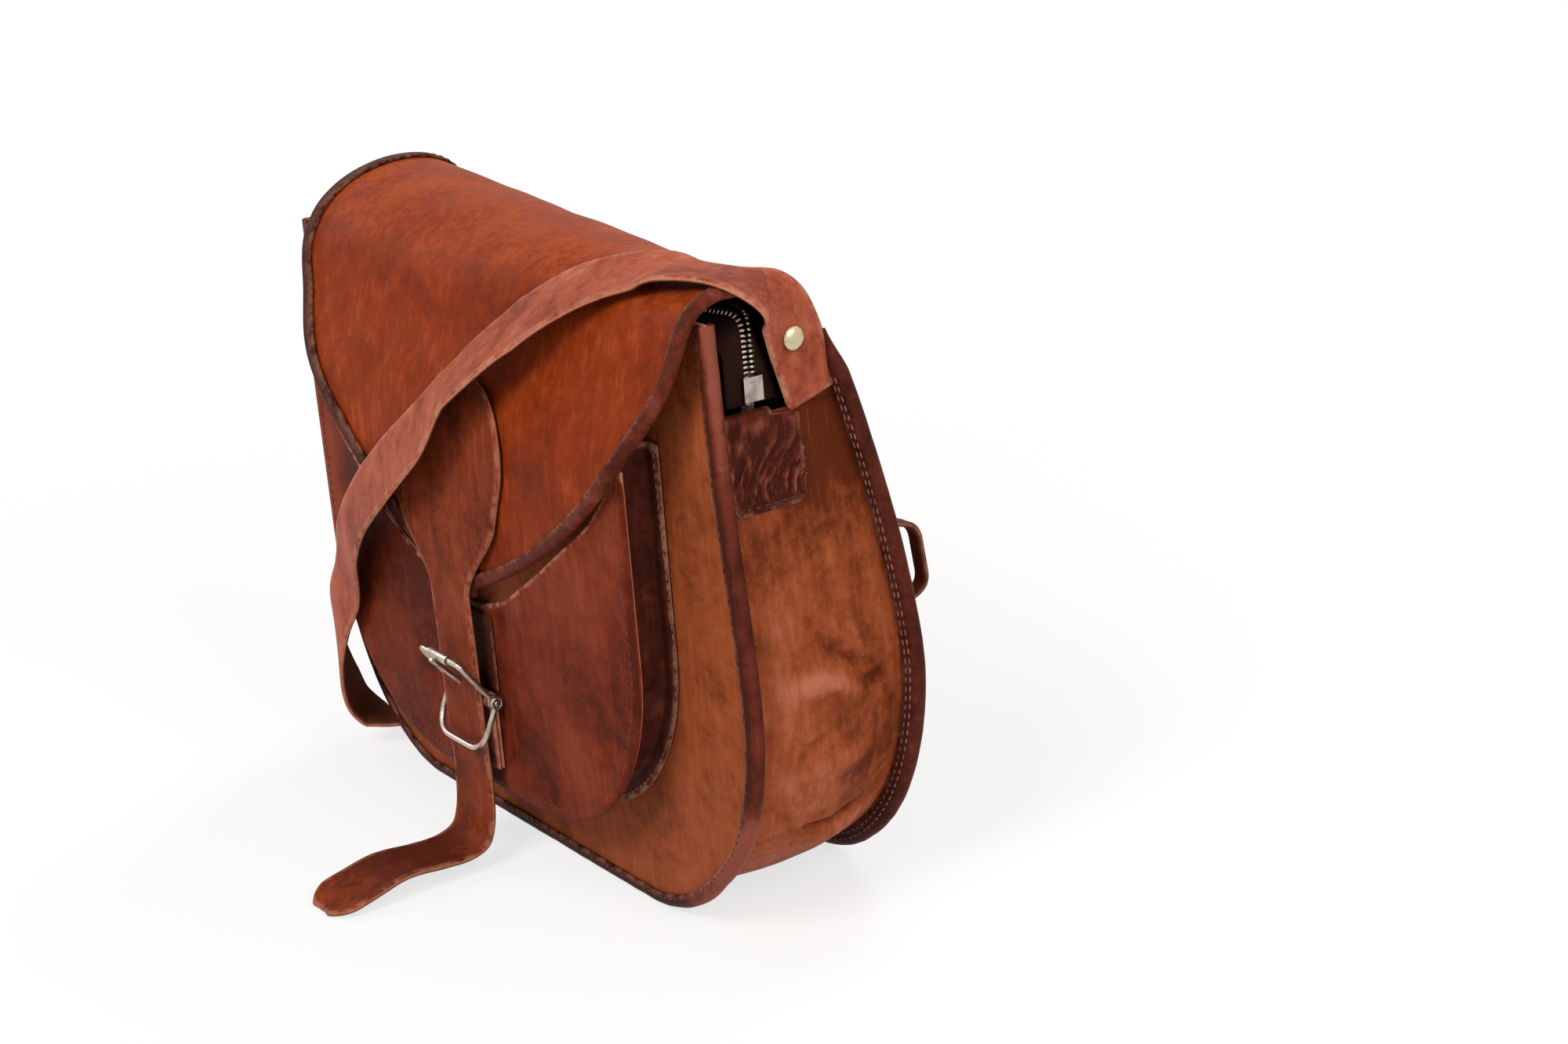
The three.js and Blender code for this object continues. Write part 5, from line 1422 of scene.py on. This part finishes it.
class SATCHEL_OT_pocket(bpy.types.Operator):
    """Front pocket: a swollen front, its side strip, and the seams of both"""

    bl_idname = "satchel.pocket"
    bl_label = "Pocket"

    def execute(self, context):
        p = sizes()[2]
        turn = np.linspace(-1, 1, POCKET_COLUMNS) * POCKET_CROWD
        x = p.half * np.sin(turn) / math.sin(POCKET_CROWD)
        mouth = (p.mouth + p.mouth_slope * (np.hypot(x, p.mouth_round) - p.mouth_round)
                 + 9 * MM * ease(np.abs(x), 115 * MM, 146 * MM))
        self.front(x, mouth)
        self.lining(x, mouth)
        self.side_strip()
        self.seams(mouth[0])
        return {"FINISHED"}

    def front(self, x, mouth):
        """The swollen front, with painted shade on its wrinkles and rim, painted shadow of the straps on its
        left half, a painted lighter strip at its left end, and its rubbed mouth.
        """
        b, _, p, _ = sizes()
        wide, left = np.abs(x), -x
        corner = np.clip((wide - (p.half - p.corner_x)) / p.corner_x, 0, 1)
        low = p.bottom + p.corner_z * (1 - np.sqrt(1 - corner ** 2))
        up = np.linspace(0, 1, POCKET_ROWS)[:, None]
        z = lerp(low, mouth, up)
        grid = spread(x, -p.depth, z)
        away = np.minimum(pocket_outline().half(z) - wide, z - low)
        rim = 1 - ease(away, 0.0, 5 * MM)
        swell = ease(away, 4 * MM, 40 * MM) * ease(wide, 26 * MM, 60 * MM)
        flare = ease(mouth - z, 26 * MM, 0) * ease(wide, 30 * MM, 50 * MM) * ease(wide, 125 * MM, 90 * MM)
        wrinkle = rumple(grid, 20.0, 6.0)
        grid[..., 1] += (1.1 * rim ** 2 - 0.8 * wrinkle * swell - 1.6 * flare) * MM - swell * p.puff
        # Painted shadow of the shoulder strap and closure strap on the left half, and a painted lighter strip
        # at the far left end
        painted_shadow_and_light = (0.5 * ease(left, 0.0, 70 * MM) * ease(left, 135 * MM, 85 * MM) * ease(z, 50 * MM, 130 * MM)
                  - 0.7 * ease(left, 105 * MM, 135 * MM))
        # Painted shade: lighter where the wrinkles rise and darker where they sink; also darker at the rim
        lay("pocket_front", grid, b.panel_t, FRONT, "pocket leather", "bag", "pocket_leather",
            0.6 * wrinkle - 0.4 * rim - painted_shadow_and_light, worn=ease(up, 0.9, 0.97))

    def lining(self, x, mouth):
        """A thin strip inside the mouth."""
        b, _, p, _ = sizes()
        keep = np.abs(x) < LINING_HALF
        x, mouth = x[keep], mouth[keep]
        flare = ease(np.abs(x), 30 * MM, 50 * MM) * ease(np.abs(x), 118 * MM, 90 * MM)
        z = mouth + np.linspace(*LINING_BAND, 16)[:, None]
        grid = spread(x, b.panel_t - p.depth + (0.9 - 1.4 * flare) * MM, z)
        lay_extra("pocket_lining_leather", grid, LINING_T, FRONT, "lining leather", "pocket_leather")

    def side_strip(self):
        """The strip between the pocket's front and the bag."""
        b, _, p, _ = sizes()
        top = p.side_top + POCKET_SIDE_RISE
        line, normals = pocket_outline().path(top, POCKET_SIDE_ROWS, p.flange + p.inset)
        front, back = b.panel_t + b.gap + b.gusset_t - p.depth, -b.gap - b.gusset_t
        out, depth, across = flanged(p.flange, front, back, POCKET_BEND, 5, 14)
        spot = spread(line[:, :1], depth, line[:, 1:])
        sag = np.sin(np.pi * across) * (rumple(spot, 60.0, 8.0) * 1.4 - 1.2) * MM
        total = out + sag * (out < 2 * MM)
        grid = spread(line[:, :1] + normals[:, :1] * total, depth, line[:, 1:] + normals[:, 1:] * total)
        lay("pocket_gusset", grid, b.gusset_t, flange_facing(normals, out, across, POCKET_BEND),
            "pocket side leather", "bag", "binding_leather")

    def seams(self, side_top):
        """Stitches on the flange and along the front's edge."""
        b, _, p, _ = sizes()
        shape, top = pocket_outline(), p.side_top + POCKET_SIDE_RISE
        line, normals = shape.path(top, POCKET_SIDE_ROWS, p.inset + FLANGE_SEAM)
        rows = [seam_row(line, normals, 0.0, -b.gap - b.gusset_t - THREAD_LIFT, FRONT)]
        stitches("pocket_flange_stitches", rows, "pale thread", "bag", "binding_leather")
        line, normals = shape.path(float(side_top) - 4 * MM, POCKET_SIDE_ROWS, POCKET_SEAM)
        rows = []
        for way in (1, -1):
            pick = line[:, 0] * way > 20 * MM
            rows.append(seam_row(line[pick], normals[pick], 0.0, -p.depth - THREAD_LIFT / 2, FRONT))
        stitches("pocket_edge_stitches", rows, "dark thread", "bag", "pocket_leather")


# Buckle

# Model node, its body and the grain in millimetres that its facets are worn to
BUCKLE_WIRES = (
    ("buckle_bar", "bag", 0.3), ("buckle_frame", "buckle_frame", 0.3),
    ("buckle_roller", "buckle_roller", 0.3), ("buckle_keeper", "buckle_keeper", 0.3),
    ("buckle_prong", "buckle_prong", 0.25),
)
PLY_ROOM = 0.1 * MM
PRONG_SLOT = 1.6 * MM
TONGUE_T, TONGUE_HALF, TONGUE_LIFT = 1.0 * MM, 20 * MM, 1.1 * MM


def flat_grid(x, y, z):
    """An upright grid at one depth, over a range of x and of z with their counts."""
    return spread(np.linspace(*x), y, np.linspace(*z)[:, None])


class SATCHEL_OT_buckle(bpy.types.Operator):
    """Wire buckle worn smooth, and the folded chape that holds it"""

    bl_idname = "satchel.buckle"
    bl_label = "Buckle"

    def execute(self, context):
        b, f, p, s = sizes()
        for node, body, voxel in BUCKLE_WIRES:
            cast(node, "wire", voxel * MM, 10, "worn nickel", body, "nickel")
        half, t = f.closure_half, s.chape_t
        outer = s.bar_r + s.wire_clearance + t
        face = -p.depth - b.gap
        centre = np.array((0, face - outer, s.bar_z))
        foot, join_z = s.chape_foot, s.bar_z - 5 * MM
        parts = []
        for y in (face - 2 * t, face - t + PLY_ROOM / 2):
            grid = flat_grid((-half, half, 19), y, (foot, join_z, 24))
            parts.append(leather_sheet("chape_ply", grid, t - PLY_ROOM, FRONT))
        angle = np.linspace(-0.12, np.pi + 0.12, 26)
        ring = np.stack([centre[1] - outer * np.cos(angle), s.bar_z + outer * np.sin(angle)], axis=1)
        ends_z = join_z + 0.15 * MM
        loop = even(np.vstack([(face - 2 * t, ends_z), ring, (face - PLY_ROOM / 2, ends_z)]), 44)
        for low, high in ((-half, -PRONG_SLOT), (PRONG_SLOT, half)):
            grid = spread(np.linspace(low, high, 9), loop[:, :1], loop[:, 1:])
            parts.append(leather_sheet("chape_fold", grid, t - PLY_ROOM, (grid - centre) * (0, 1, 1)))
        place_piece("buckle_chape_leather", joined("chape", parts), "strap leather", "bag", "strap_leather",
                    "buckle_chape")
        tongue = flat_grid((-TONGUE_HALF, TONGUE_HALF, 23), face - TONGUE_LIFT,
                           (s.bar_z + outer + 0.8 * MM, p.mouth - 3 * MM, 24))
        lay_extra("chape_tongue_leather", tongue, TONGUE_T, FRONT, "tongue leather", "strap_leather")
        y, x, low, high = face - 2 * t - THREAD_LIFT, half - 3 * MM, foot + 4 * MM, join_z - 2 * MM
        path = np.array([(-x, y, high), (-x, y, low), (x, y, low), (x, y, high)])
        stitches("chape_stitches", [(path, FRONT)], "dark thread", "bag", "strap_leather")
        return {"FINISHED"}


# Shoulder strap

# How much slimmer the strap is near its ends, and at its cut corners
STRAP_SLIM, STRAP_CORNER = 0.86, 0.93
# Places as shares of half width, depth and height, and the way the strap faces there
STRAP_BEND = (
    ((0.931, 0.584, 0.855), (1, 0, 0)),
    ((0.931, 0.515, 0.933), (1, 0, -0.03)),
    ((0.938, 0.444, 0.991), (0.99, 0.09, 0.08)),
    ((0.942, 0.345, 1.03), (0.68, 0.26, 0.69)),
    ((0.878, 0.222, 1.052), (0.3, 0.24, 0.92)),
    ((0.794, 0.122, 1.058), (0.1, 0.06, 0.99)),
    ((0.712, 0.074, 1.054), (0.0, -0.27, 0.96)),
    ((0.609, -0.013, 1.041), (-0.08, -0.46, 0.88)),
    ((0.513, -0.112, 1.017), (-0.16, -0.62, 0.77)),
    ((0.372, -0.236, 0.96), (-0.24, -0.73, 0.65)),
)
# Places on the flap as shares of half width and height, and the share of the tilt
STRAP_ON_FRONT = (
    (0.165, 0.835, 1.4), (0.03, 0.765, 1.15), (-0.2, 0.665, 1), (-0.385, 0.575, 0.9), (-0.52, 0.49, 0.6),
)
STRAP_FREE = (
    ((-0.63, -0.32, 0.392), (-0.15, -1, 0)),
    ((-0.73, -0.305, 0.313), (-0.25, -0.95, 0)),
    ((-0.82, -0.25, 0.218), (-0.45, -0.85, 0)),
    ((-0.895, -0.14, 0.118), (-0.62, -0.77, -0.1)),
    ((-0.9, -0.06, 0.068), (-0.55, -0.65, -0.52)),
    ((-0.87, 0.08, 0.042), (0.05, 0, -1)),
    ((-0.88, 0.3, 0.042), (-0.1, 0.1, -1)),
    ((-1.0, 0.47, 0.09), (-0.9, 0.1, -0.5)),
    ((-1.06, 0.53, 0.26), (-1, 0, 0)),
    ((-1.04, 0.52, 0.52), (-1, 0, 0)),
    ((-1, 0.49, 0.8), (-1, 0, 0)),
)


def strap_stations():
    """Places, faces and tilts of the shoulder strap from the right rivet to the left one."""
    b, f, _, s = sizes()
    end_x = web_outer() + b.gap + f.strap_t / 2
    lift = f.thickness + seam() + 2 * b.gap + f.strap_t / 2

    def shared(places):
        return [((x * b.half_low, y * b.depth, z * b.top), face, 0.0) for (x, y, z), face in places]

    stations = shared(STRAP_BEND)
    stations[:2] = [((end_x, *place[1:]), face, 0.0) for place, face, _ in stations[:2]]
    for x, z, lean in STRAP_ON_FRONT:
        x = x * b.half_low
        tab = max(0.0, 1 - abs(x) / (f.tab_half + 3 * s.strap_half))
        tilt = lean * s.strap_tilt
        rise = lift + (f.strap_t + b.gap) * float(ease(tab, 0, 0.35)) + s.strap_half * math.sin(tilt)
        point, normal = flap_frame(x, flap_share(x, z * b.top))
        stations.append((tuple(point + normal * rise), tuple(normal), tilt))
    stations += shared(STRAP_FREE)
    for rise, out in ((-s.strap_end / 2, f.strap_t / 2), (0, 0), (s.strap_end / 2, 0)):
        stations.append(((-end_x - out, b.ear_y, s.rivet_z + rise), (-1, 0, 0), 0.0))
    return stations


class SATCHEL_OT_strap(bpy.types.Operator):
    """Shoulder strap laid over the flap and round the bag, with its dome rivets"""

    bl_idname = "satchel.strap"
    bl_label = "Shoulder strap"

    def execute(self, context):
        f, s = sizes()[1], sizes()[3]
        places, faces, tilts = zip(*strap_stations())
        ts = np.linspace(0, 1, 2400)
        tilts = np.interp(ts * (len(tilts) - 1), np.arange(len(tilts)), tilts)
        line, normal, angle = even(spline(places, ts), STRAP_ROWS, spline(faces, ts), tilts[:, None])
        along = unit(np.gradient(line, axis=0))
        normal = unit(normal - along * np.sum(normal * along, axis=1, keepdims=True))
        side, cos, sin = np.cross(normal, along), np.cos(angle), np.sin(angle)
        normal, side = normal * cos - side * sin, side * cos + normal * sin
        walked = arc(line)
        end = np.minimum(walked, walked[-1] - walked)[:, None]
        slim = lerp(STRAP_SLIM, 1, ease(end, 60 * MM, 110 * MM)) * lerp(STRAP_CORNER, 1, ease(end, 0, 3 * MM))
        across = np.linspace(-1, 1, 21)
        cup = ease(end, 30 * MM, 100 * MM) * 0.5 * MM * rumple(line, 18.0, 4.0)[:, None] * across ** 2
        grid = ribbon(line, normal, side[:, None, :], s.strap_half * slim * across, f.strap_t / 2 + cup)
        lay("shoulder_strap", grid, f.strap_t, normal[:, None, :], "strap leather", "shoulder_strap",
            "strap_leather")
        for name, _ in SIDES:
            for node in ("strap_rivet_" + name, "rivet_burr_" + name):
                cast(node, "metal", 0.25 * MM, 12, "aged brass", "bag", "aged_brass")
        return {"FINISHED"}


# Zip

TAPE_STEP, TAPE_START = 4 * MM, 0.6 * MM
# Rows of each tape's path that its first tooth stands in from the right end
TEETH_START = {"front": 0, "back": 4}
# End tabs: middle and half width where they hang and where they turn in, and what goes inside
TAB_MIDDLE, TAB_HALF = (29 * MM, 21.8 * MM), (19.5 * MM, 12.2 * MM)
TAB_INSIDE, TAB_ROUND, TAB_PLEAT, TAB_SHADE = 16 * MM, 1.1 * MM, 1.2 * MM, 0.25


def zip_edges(way, sewn_y, sewn_z, edge_y, edge_z):
    """Toothed edge and sewn edge of one tape, from the right end to the left end."""
    b, _, _, s = sizes()
    zip_x = web_outer() - b.gusset_t - b.gap - s.end_tab_t - b.gap - s.tape_t / 2
    run = zip_x - s.zip_turn
    low = b.gusset_top + s.zip_rise
    edge, sewn = [], []
    for side in (1, -1):
        near, outer = s.zip_y + way * (s.tooth + b.gap), s.zip_y + way * s.tape_w
        far_y = float(sewn_y(side * run))
        for route, start, y, z in ((edge, near, edge_y, edge_z), (sewn, outer, far_y, sewn_z)):
            stops = [(side * zip_x, start, low), (side * zip_x, start, z), (side * run, y, z)]
            route += stops[::side]
    return round_corners(edge, s.zip_corner, 12), round_corners(sewn, s.zip_corner, 12)


def subdivided(line, step):
    """Shares along a broken line that keep its corners and split its long spans."""
    shares = []
    for i, (a, b) in enumerate(zip(line, line[1:])):
        pieces = max(1, int(np.linalg.norm(b - a) / step))
        shares += [i + k / pieces for k in range(pieces)]
    return np.array(shares + [len(line) - 1.0])


def on_line(line, shares):
    """Points of a broken line at shares of its spans."""
    index = np.minimum(shares.astype(int), len(line) - 2)
    return lerp(line[index], line[index + 1], (shares - index)[:, None])


class SATCHEL_OT_zip(bpy.types.Operator):
    """Open metal zip along the mouth, with its slider, pull and end tabs"""

    bl_idname = "satchel.zip"
    bl_label = "Zip"

    def execute(self, context):
        b, _, _, s = sizes()
        inside = b.panel_t + b.gap + s.tape_t / 2
        back_z = b.hinge_z - s.tape_w / 2

        def on_front(x):
            return inside

        def on_back(x):
            return back_face(x, back_z) - inside

        self.tape("front", -1, on_front, b.top - s.tape_w, inside + s.tape_w, b.top - b.gusset_t)
        self.tape("back", 1, on_back, back_z, b.depth / 2, b.top - 2 * b.binding_t)
        for node in ("zip_slider", "zip_pull"):
            cast(node, "cast", 0.2 * MM, 4, "worn nickel", node, "nickel")
        for name, side in SIDES:
            self.end_tab(name, side)
        return {"FINISHED"}

    def tape(self, name, way, *route):
        """One half of the zip: its cloth and its teeth."""
        s = sizes()[3]
        edge, sewn = zip_edges(way, *route)
        shares = subdivided(edge, TAPE_STEP)
        inside, outside = on_line(edge, shares), on_line(sewn, shares)
        across = unit(outside - inside)
        normal = unit(np.cross(np.gradient(inside, axis=0), across))
        start = inside + across * (s.tooth + TAPE_START)
        cols = np.linspace(0, 1, 7)[None, :, None]
        grid = lerp(start[:, None, :], outside[:, None, :], cols) + normal[:, None, :] * (s.tape_t / 2)
        wave = rumple(grid, 40.0, 3.0)[..., None] * 0.5 * MM * np.sin(np.pi * cols)
        lay("zip_tape_" + name, grid + normal[:, None, :] * wave, s.tape_t, normal[:, None, :], "zip cloth",
            "bag", "zip_tape", kind="cloth")
        line = even(inside, TEETH_ROWS)
        along = unit(np.gradient(line, axis=0))
        want, have = np.linspace(0, 1, TEETH_ROWS), np.linspace(0, 1, len(normal))
        out = np.stack([np.interp(want, have, part) for part in normal.T], axis=1)
        lift = unit(out - along * np.sum(out * along, axis=1, keepdims=True))
        first = TEETH_START[name]
        steps = (s.tooth_pitch, s.tooth_pitch, 2 * s.tooth)
        repeat_along("zip_teeth_%s_cast" % name, [(line[first:], lift[first:])],
                     repeat_tree("zip_teeth", tooth_shape), steps, "cast teeth", "bag", "aged_brass",
                     "zip_teeth_" + name)

    def end_tab(self, name, side):
        """A gathered leather tab that holds one end of the zip on the gusset."""
        b, _, _, s = sizes()
        drop, shape = s.end_tab_drop, panel_outline()
        outer = web_outer() + b.gap + s.end_tab_t / 2
        inner = web_outer() - b.gusset_t - b.gap - s.end_tab_t / 2
        top = b.gusset_top + b.gap + s.end_tab_t / 2
        lean = float(shape.half(b.gusset_top - drop) - shape.half(b.gusset_top))
        corners = [(outer + lean, 0, b.gusset_top - drop), (outer, 0, top), (inner, 0, top),
                   (inner, 0, top - TAB_INSIDE)]
        line = even(round_corners(corners, TAB_ROUND, 8), TAB_ROWS)
        along = unit(np.gradient(line, axis=0))
        normal = spread(along[:, 2], 0.0, -along[:, 0])
        walked = arc(line)[:, None]
        narrow = ease(walked, drop * 0.93, drop * 0.99)
        half = lerp(*TAB_HALF, narrow) * (0.86 + 0.14 * ease(walked, 0, 5 * MM))
        y = lerp(*TAB_MIDDLE, narrow) + half * np.linspace(-1, 1, 70)
        show = ease(walked, drop, drop * 0.9) * ease(walked, 0, 7 * MM)
        gather = ease(walked, drop * 0.75, drop * 0.2)
        place = spread(walked * 0.45, y * (1 + 0.5 * gather), 0.0)
        pleat = rumple(place, 260.0, side) * 0.9 + rumple(place, 520.0, side + 3.0) * (0.3 + 0.6 * gather)
        lift = s.end_tab_t / 2 + show * np.maximum(pleat * (0.5 + gather), -0.3) * TAB_PLEAT
        grid = ribbon(line, normal, (0, 1, 0), y, lift) * (side, 1, 1)
        # Painted shade: the tab is painted lighter where its pleats rise, darker where they sink, and darker
        # all over
        lay("zip_end_tab_" + name, grid, s.end_tab_t, (normal * (side, 1, 1))[:, None, :], "tab leather",
            "bag", "binding_leather", show * pleat - TAB_SHADE)
        rows = [(grid[6, 4:-4] + (side * 0.4 * MM, 0, 0), (side, 0, 0))]
        stitches("end_tab_stitches_" + name, rows, "dark thread", "bag", "binding_leather")


# Loops behind the back

LOOP_FOOT, LOOP_SLOPE, LOOP_ROUND = 12 * MM, 8 * MM, 7 * MM


class SATCHEL_OT_loops(bpy.types.Operator):
    """Bowed leather loops sewn on the back"""

    bl_idname = "satchel.loops"
    bl_label = "Back loops"

    def execute(self, context):
        b, _, _, s = sizes()
        low, high = s.loop_z - s.loop_tall / 2, s.loop_z + s.loop_tall / 2
        stops = ((low - LOOP_FOOT, 0), (low, 0), (low + LOOP_SLOPE, s.loop_out),
                 (high - LOOP_SLOPE, s.loop_out), (high, 0), (high + LOOP_FOOT, 0))
        for name, side in SIDES:
            x = side * s.loop_x
            corners = [(x, float(back_face(x, z)) + 2 * b.gap + s.loop_t / 2 + out, z) for z, out in stops]
            line = even(round_corners(corners, LOOP_ROUND, 12), LOOP_ROWS)
            along = unit(np.gradient(line, axis=0))
            normal = spread(0.0, along[:, 2], -along[:, 1])
            walked = arc(line)[:, None]
            half = s.loop_half * (0.85 + 0.15 * ease(np.minimum(walked, walked[-1] - walked), 0, 4 * MM))
            grid = ribbon(line, normal, (1, 0, 0), half * np.linspace(-1, 1, 15), s.loop_t / 2)
            lay("back_loop_" + name, grid, s.loop_t, normal[:, None, :], "loop leather", "bag",
                "strap_leather")
            rows = [(grid[pick, col] + normal[pick] * THREAD_LIFT, normal[pick])
                    for pick in (slice(4, 16), slice(-16, -4)) for col in (2, -3)]
            stitches("loop_stitches_" + name, rows, "pale thread", "bag", "strap_leather")
        return {"FINISHED"}


# Stage

CAMERA_PLACE = (1.028, -0.558, 0.539)
CAMERA_TURN = (55.0, 18.3, -4.3)
FOCAL_PIXELS, FRAME_PIXELS, SENSOR = 3233.0, 2000.0, 36.0
FLOOR_REACH = 6.0
SKY_STRENGTH = 0.3
# Name, place, aim, size, power and colour of each lamp
LAMPS = (
    ("key", (0.6, -1.4, 1.6), (0.0, 0.0, 0.16), 0.9, 29.0, (1.0, 0.97, 0.93)),
    ("side", (1.6, 0.1, 1.1), (0.1, 0.05, 0.13), 1.0, 15.0, (1.0, 0.98, 0.96)),
    ("left", (-1.5, -0.7, 1.2), (-0.1, 0.0, 0.15), 1.2, 9.0, (1.0, 0.98, 0.96)),
    ("back", (-0.4, 1.4, 1.6), (0.0, 0.05, 0.2), 1.0, 14.0, (1.0, 1.0, 1.0)),
)


class SATCHEL_OT_stage(bpy.types.Operator):
    """Pale floor, soft studio light and the camera"""

    bl_idname = "satchel.stage"
    bl_label = "Stage"

    def execute(self, context):
        scene = context.scene
        scene.view_settings.view_transform = "Standard"
        self.floor(scene)
        self.sky(scene)
        for name, place, aim, size, power, warm in LAMPS:
            lamp = bpy.data.lights.new(name, "AREA")
            lamp.shape, lamp.size, lamp.energy, lamp.color = "DISK", size, power, warm
            light = bpy.data.objects.new(name, lamp)
            light.location = place
            light.rotation_euler = (Vector(aim) - Vector(place)).to_track_quat("-Z", "Y").to_euler()
            scene.collection.objects.link(light)
        self.camera(scene)
        return {"FINISHED"}

    def floor(self, scene):
        """A wide floor that stays pale and keeps the bag's shadow."""
        mesh = bpy.data.meshes.new("floor")
        corners = [(x * FLOOR_REACH, y * FLOOR_REACH, 0) for x, y in ((-1, -1), (1, -1), (1, 1), (-1, 1))]
        mesh.from_pydata(corners, [], [(0, 1, 2, 3)])
        piece = bpy.data.objects.new("floor", mesh)
        scene.collection.objects.link(piece)
        paint = Paint("floor paint")
        away = paint.node("ShaderNodeVectorMath", {"operation": "LENGTH"}, {0: paint.place}).outputs["Value"]
        seen = paint.seen() * (0.72 + 0.28 * Amount(paint, away).between(0.35, 1.0))
        glow = paint.node("ShaderNodeEmission", {}, {"Strength": 1.0})
        mix = paint.node("ShaderNodeMixShader", {}, {0: seen, 1: paint.shader.outputs["BSDF"],
                                                     2: glow.outputs["Emission"]})
        paint.feed(paint.output.inputs["Surface"], mix.outputs[0])
        mesh.materials.append(paint.finish((*colour("floor"), 1.0), 0.9))

    def sky(self, scene):
        """Even light all round, white where the camera or a reflection sees it."""
        scene.world = bpy.data.worlds.new("studio")
        bench = Bench(scene.world)
        soft = bench.node("ShaderNodeBackground", {}, {"Strength": SKY_STRENGTH})
        white = bench.node("ShaderNodeBackground", {}, {"Color": (1, 1, 1, 1)})
        mix = bench.node("ShaderNodeMixShader", {}, {0: bench.seen(), 1: soft.outputs[0],
                                                     2: white.outputs[0]})
        bench.node("ShaderNodeOutputWorld", {}, {"Surface": mix.outputs[0]})

    def camera(self, scene):
        """Camera at the photograph's angle."""
        azimuth, elevation, roll = (math.radians(a) for a in CAMERA_TURN)
        back = Vector((math.sin(azimuth) * math.cos(elevation), -math.cos(azimuth) * math.cos(elevation),
                       math.sin(elevation)))
        level = (-back).cross(Vector((0, 0, 1))).normalized()
        upright = level.cross(-back)
        right = math.cos(roll) * level + math.sin(roll) * upright
        up = -math.sin(roll) * level + math.cos(roll) * upright
        data = bpy.data.cameras.new("camera")
        data.sensor_width = SENSOR
        data.lens = FOCAL_PIXELS / FRAME_PIXELS * SENSOR
        camera = bpy.data.objects.new("camera", data)
        scene.collection.objects.link(camera)
        turn = Matrix((right, up, back)).transposed().to_4x4()
        camera.matrix_world = Matrix.Translation(CAMERA_PLACE) @ turn
        scene.camera = camera


# Add-on

OPERATORS = (
    SATCHEL_OT_stage, SATCHEL_OT_panels, SATCHEL_OT_gusset, SATCHEL_OT_bindings, SATCHEL_OT_flap,
    SATCHEL_OT_closure, SATCHEL_OT_pocket, SATCHEL_OT_buckle, SATCHEL_OT_strap, SATCHEL_OT_zip,
    SATCHEL_OT_loops,
)


class SATCHEL_PT_pieces(bpy.types.Panel):
    """Lists the satchel's pieces in the sidebar"""

    bl_idname = "SATCHEL_PT_pieces"
    bl_label = "Leather satchel"
    bl_space_type = "VIEW_3D"
    bl_region_type = "UI"
    bl_category = "Satchel"

    def draw(self, context):
        for operator in OPERATORS:
            self.layout.operator(operator.bl_idname)
        for group in GROUPS:
            box = self.layout.box()
            values = getattr(context.scene, group)
            for key in values.bl_rna.properties.keys():
                if key not in ("rna_type", "name"):
                    box.prop(values, key)


CLASSES = (*GROUPS.values(), *OPERATORS, SATCHEL_PT_pieces)


def register():
    """Adds the classes and the scene's sizes and colours."""
    for cls in CLASSES:
        bpy.utils.register_class(cls)
    for name, cls in GROUPS.items():
        setattr(bpy.types.Scene, name, PointerProperty(type=cls))


def unregister():
    """Takes them away again."""
    for name in GROUPS:
        delattr(bpy.types.Scene, name)
    for cls in reversed(CLASSES):
        bpy.utils.unregister_class(cls)


def main():
    """Builds every piece."""
    register()
    for operator in OPERATORS:
        group, name = operator.bl_idname.split(".")
        getattr(getattr(bpy.ops, group), name)()


if __name__ == "__main__":
    main()
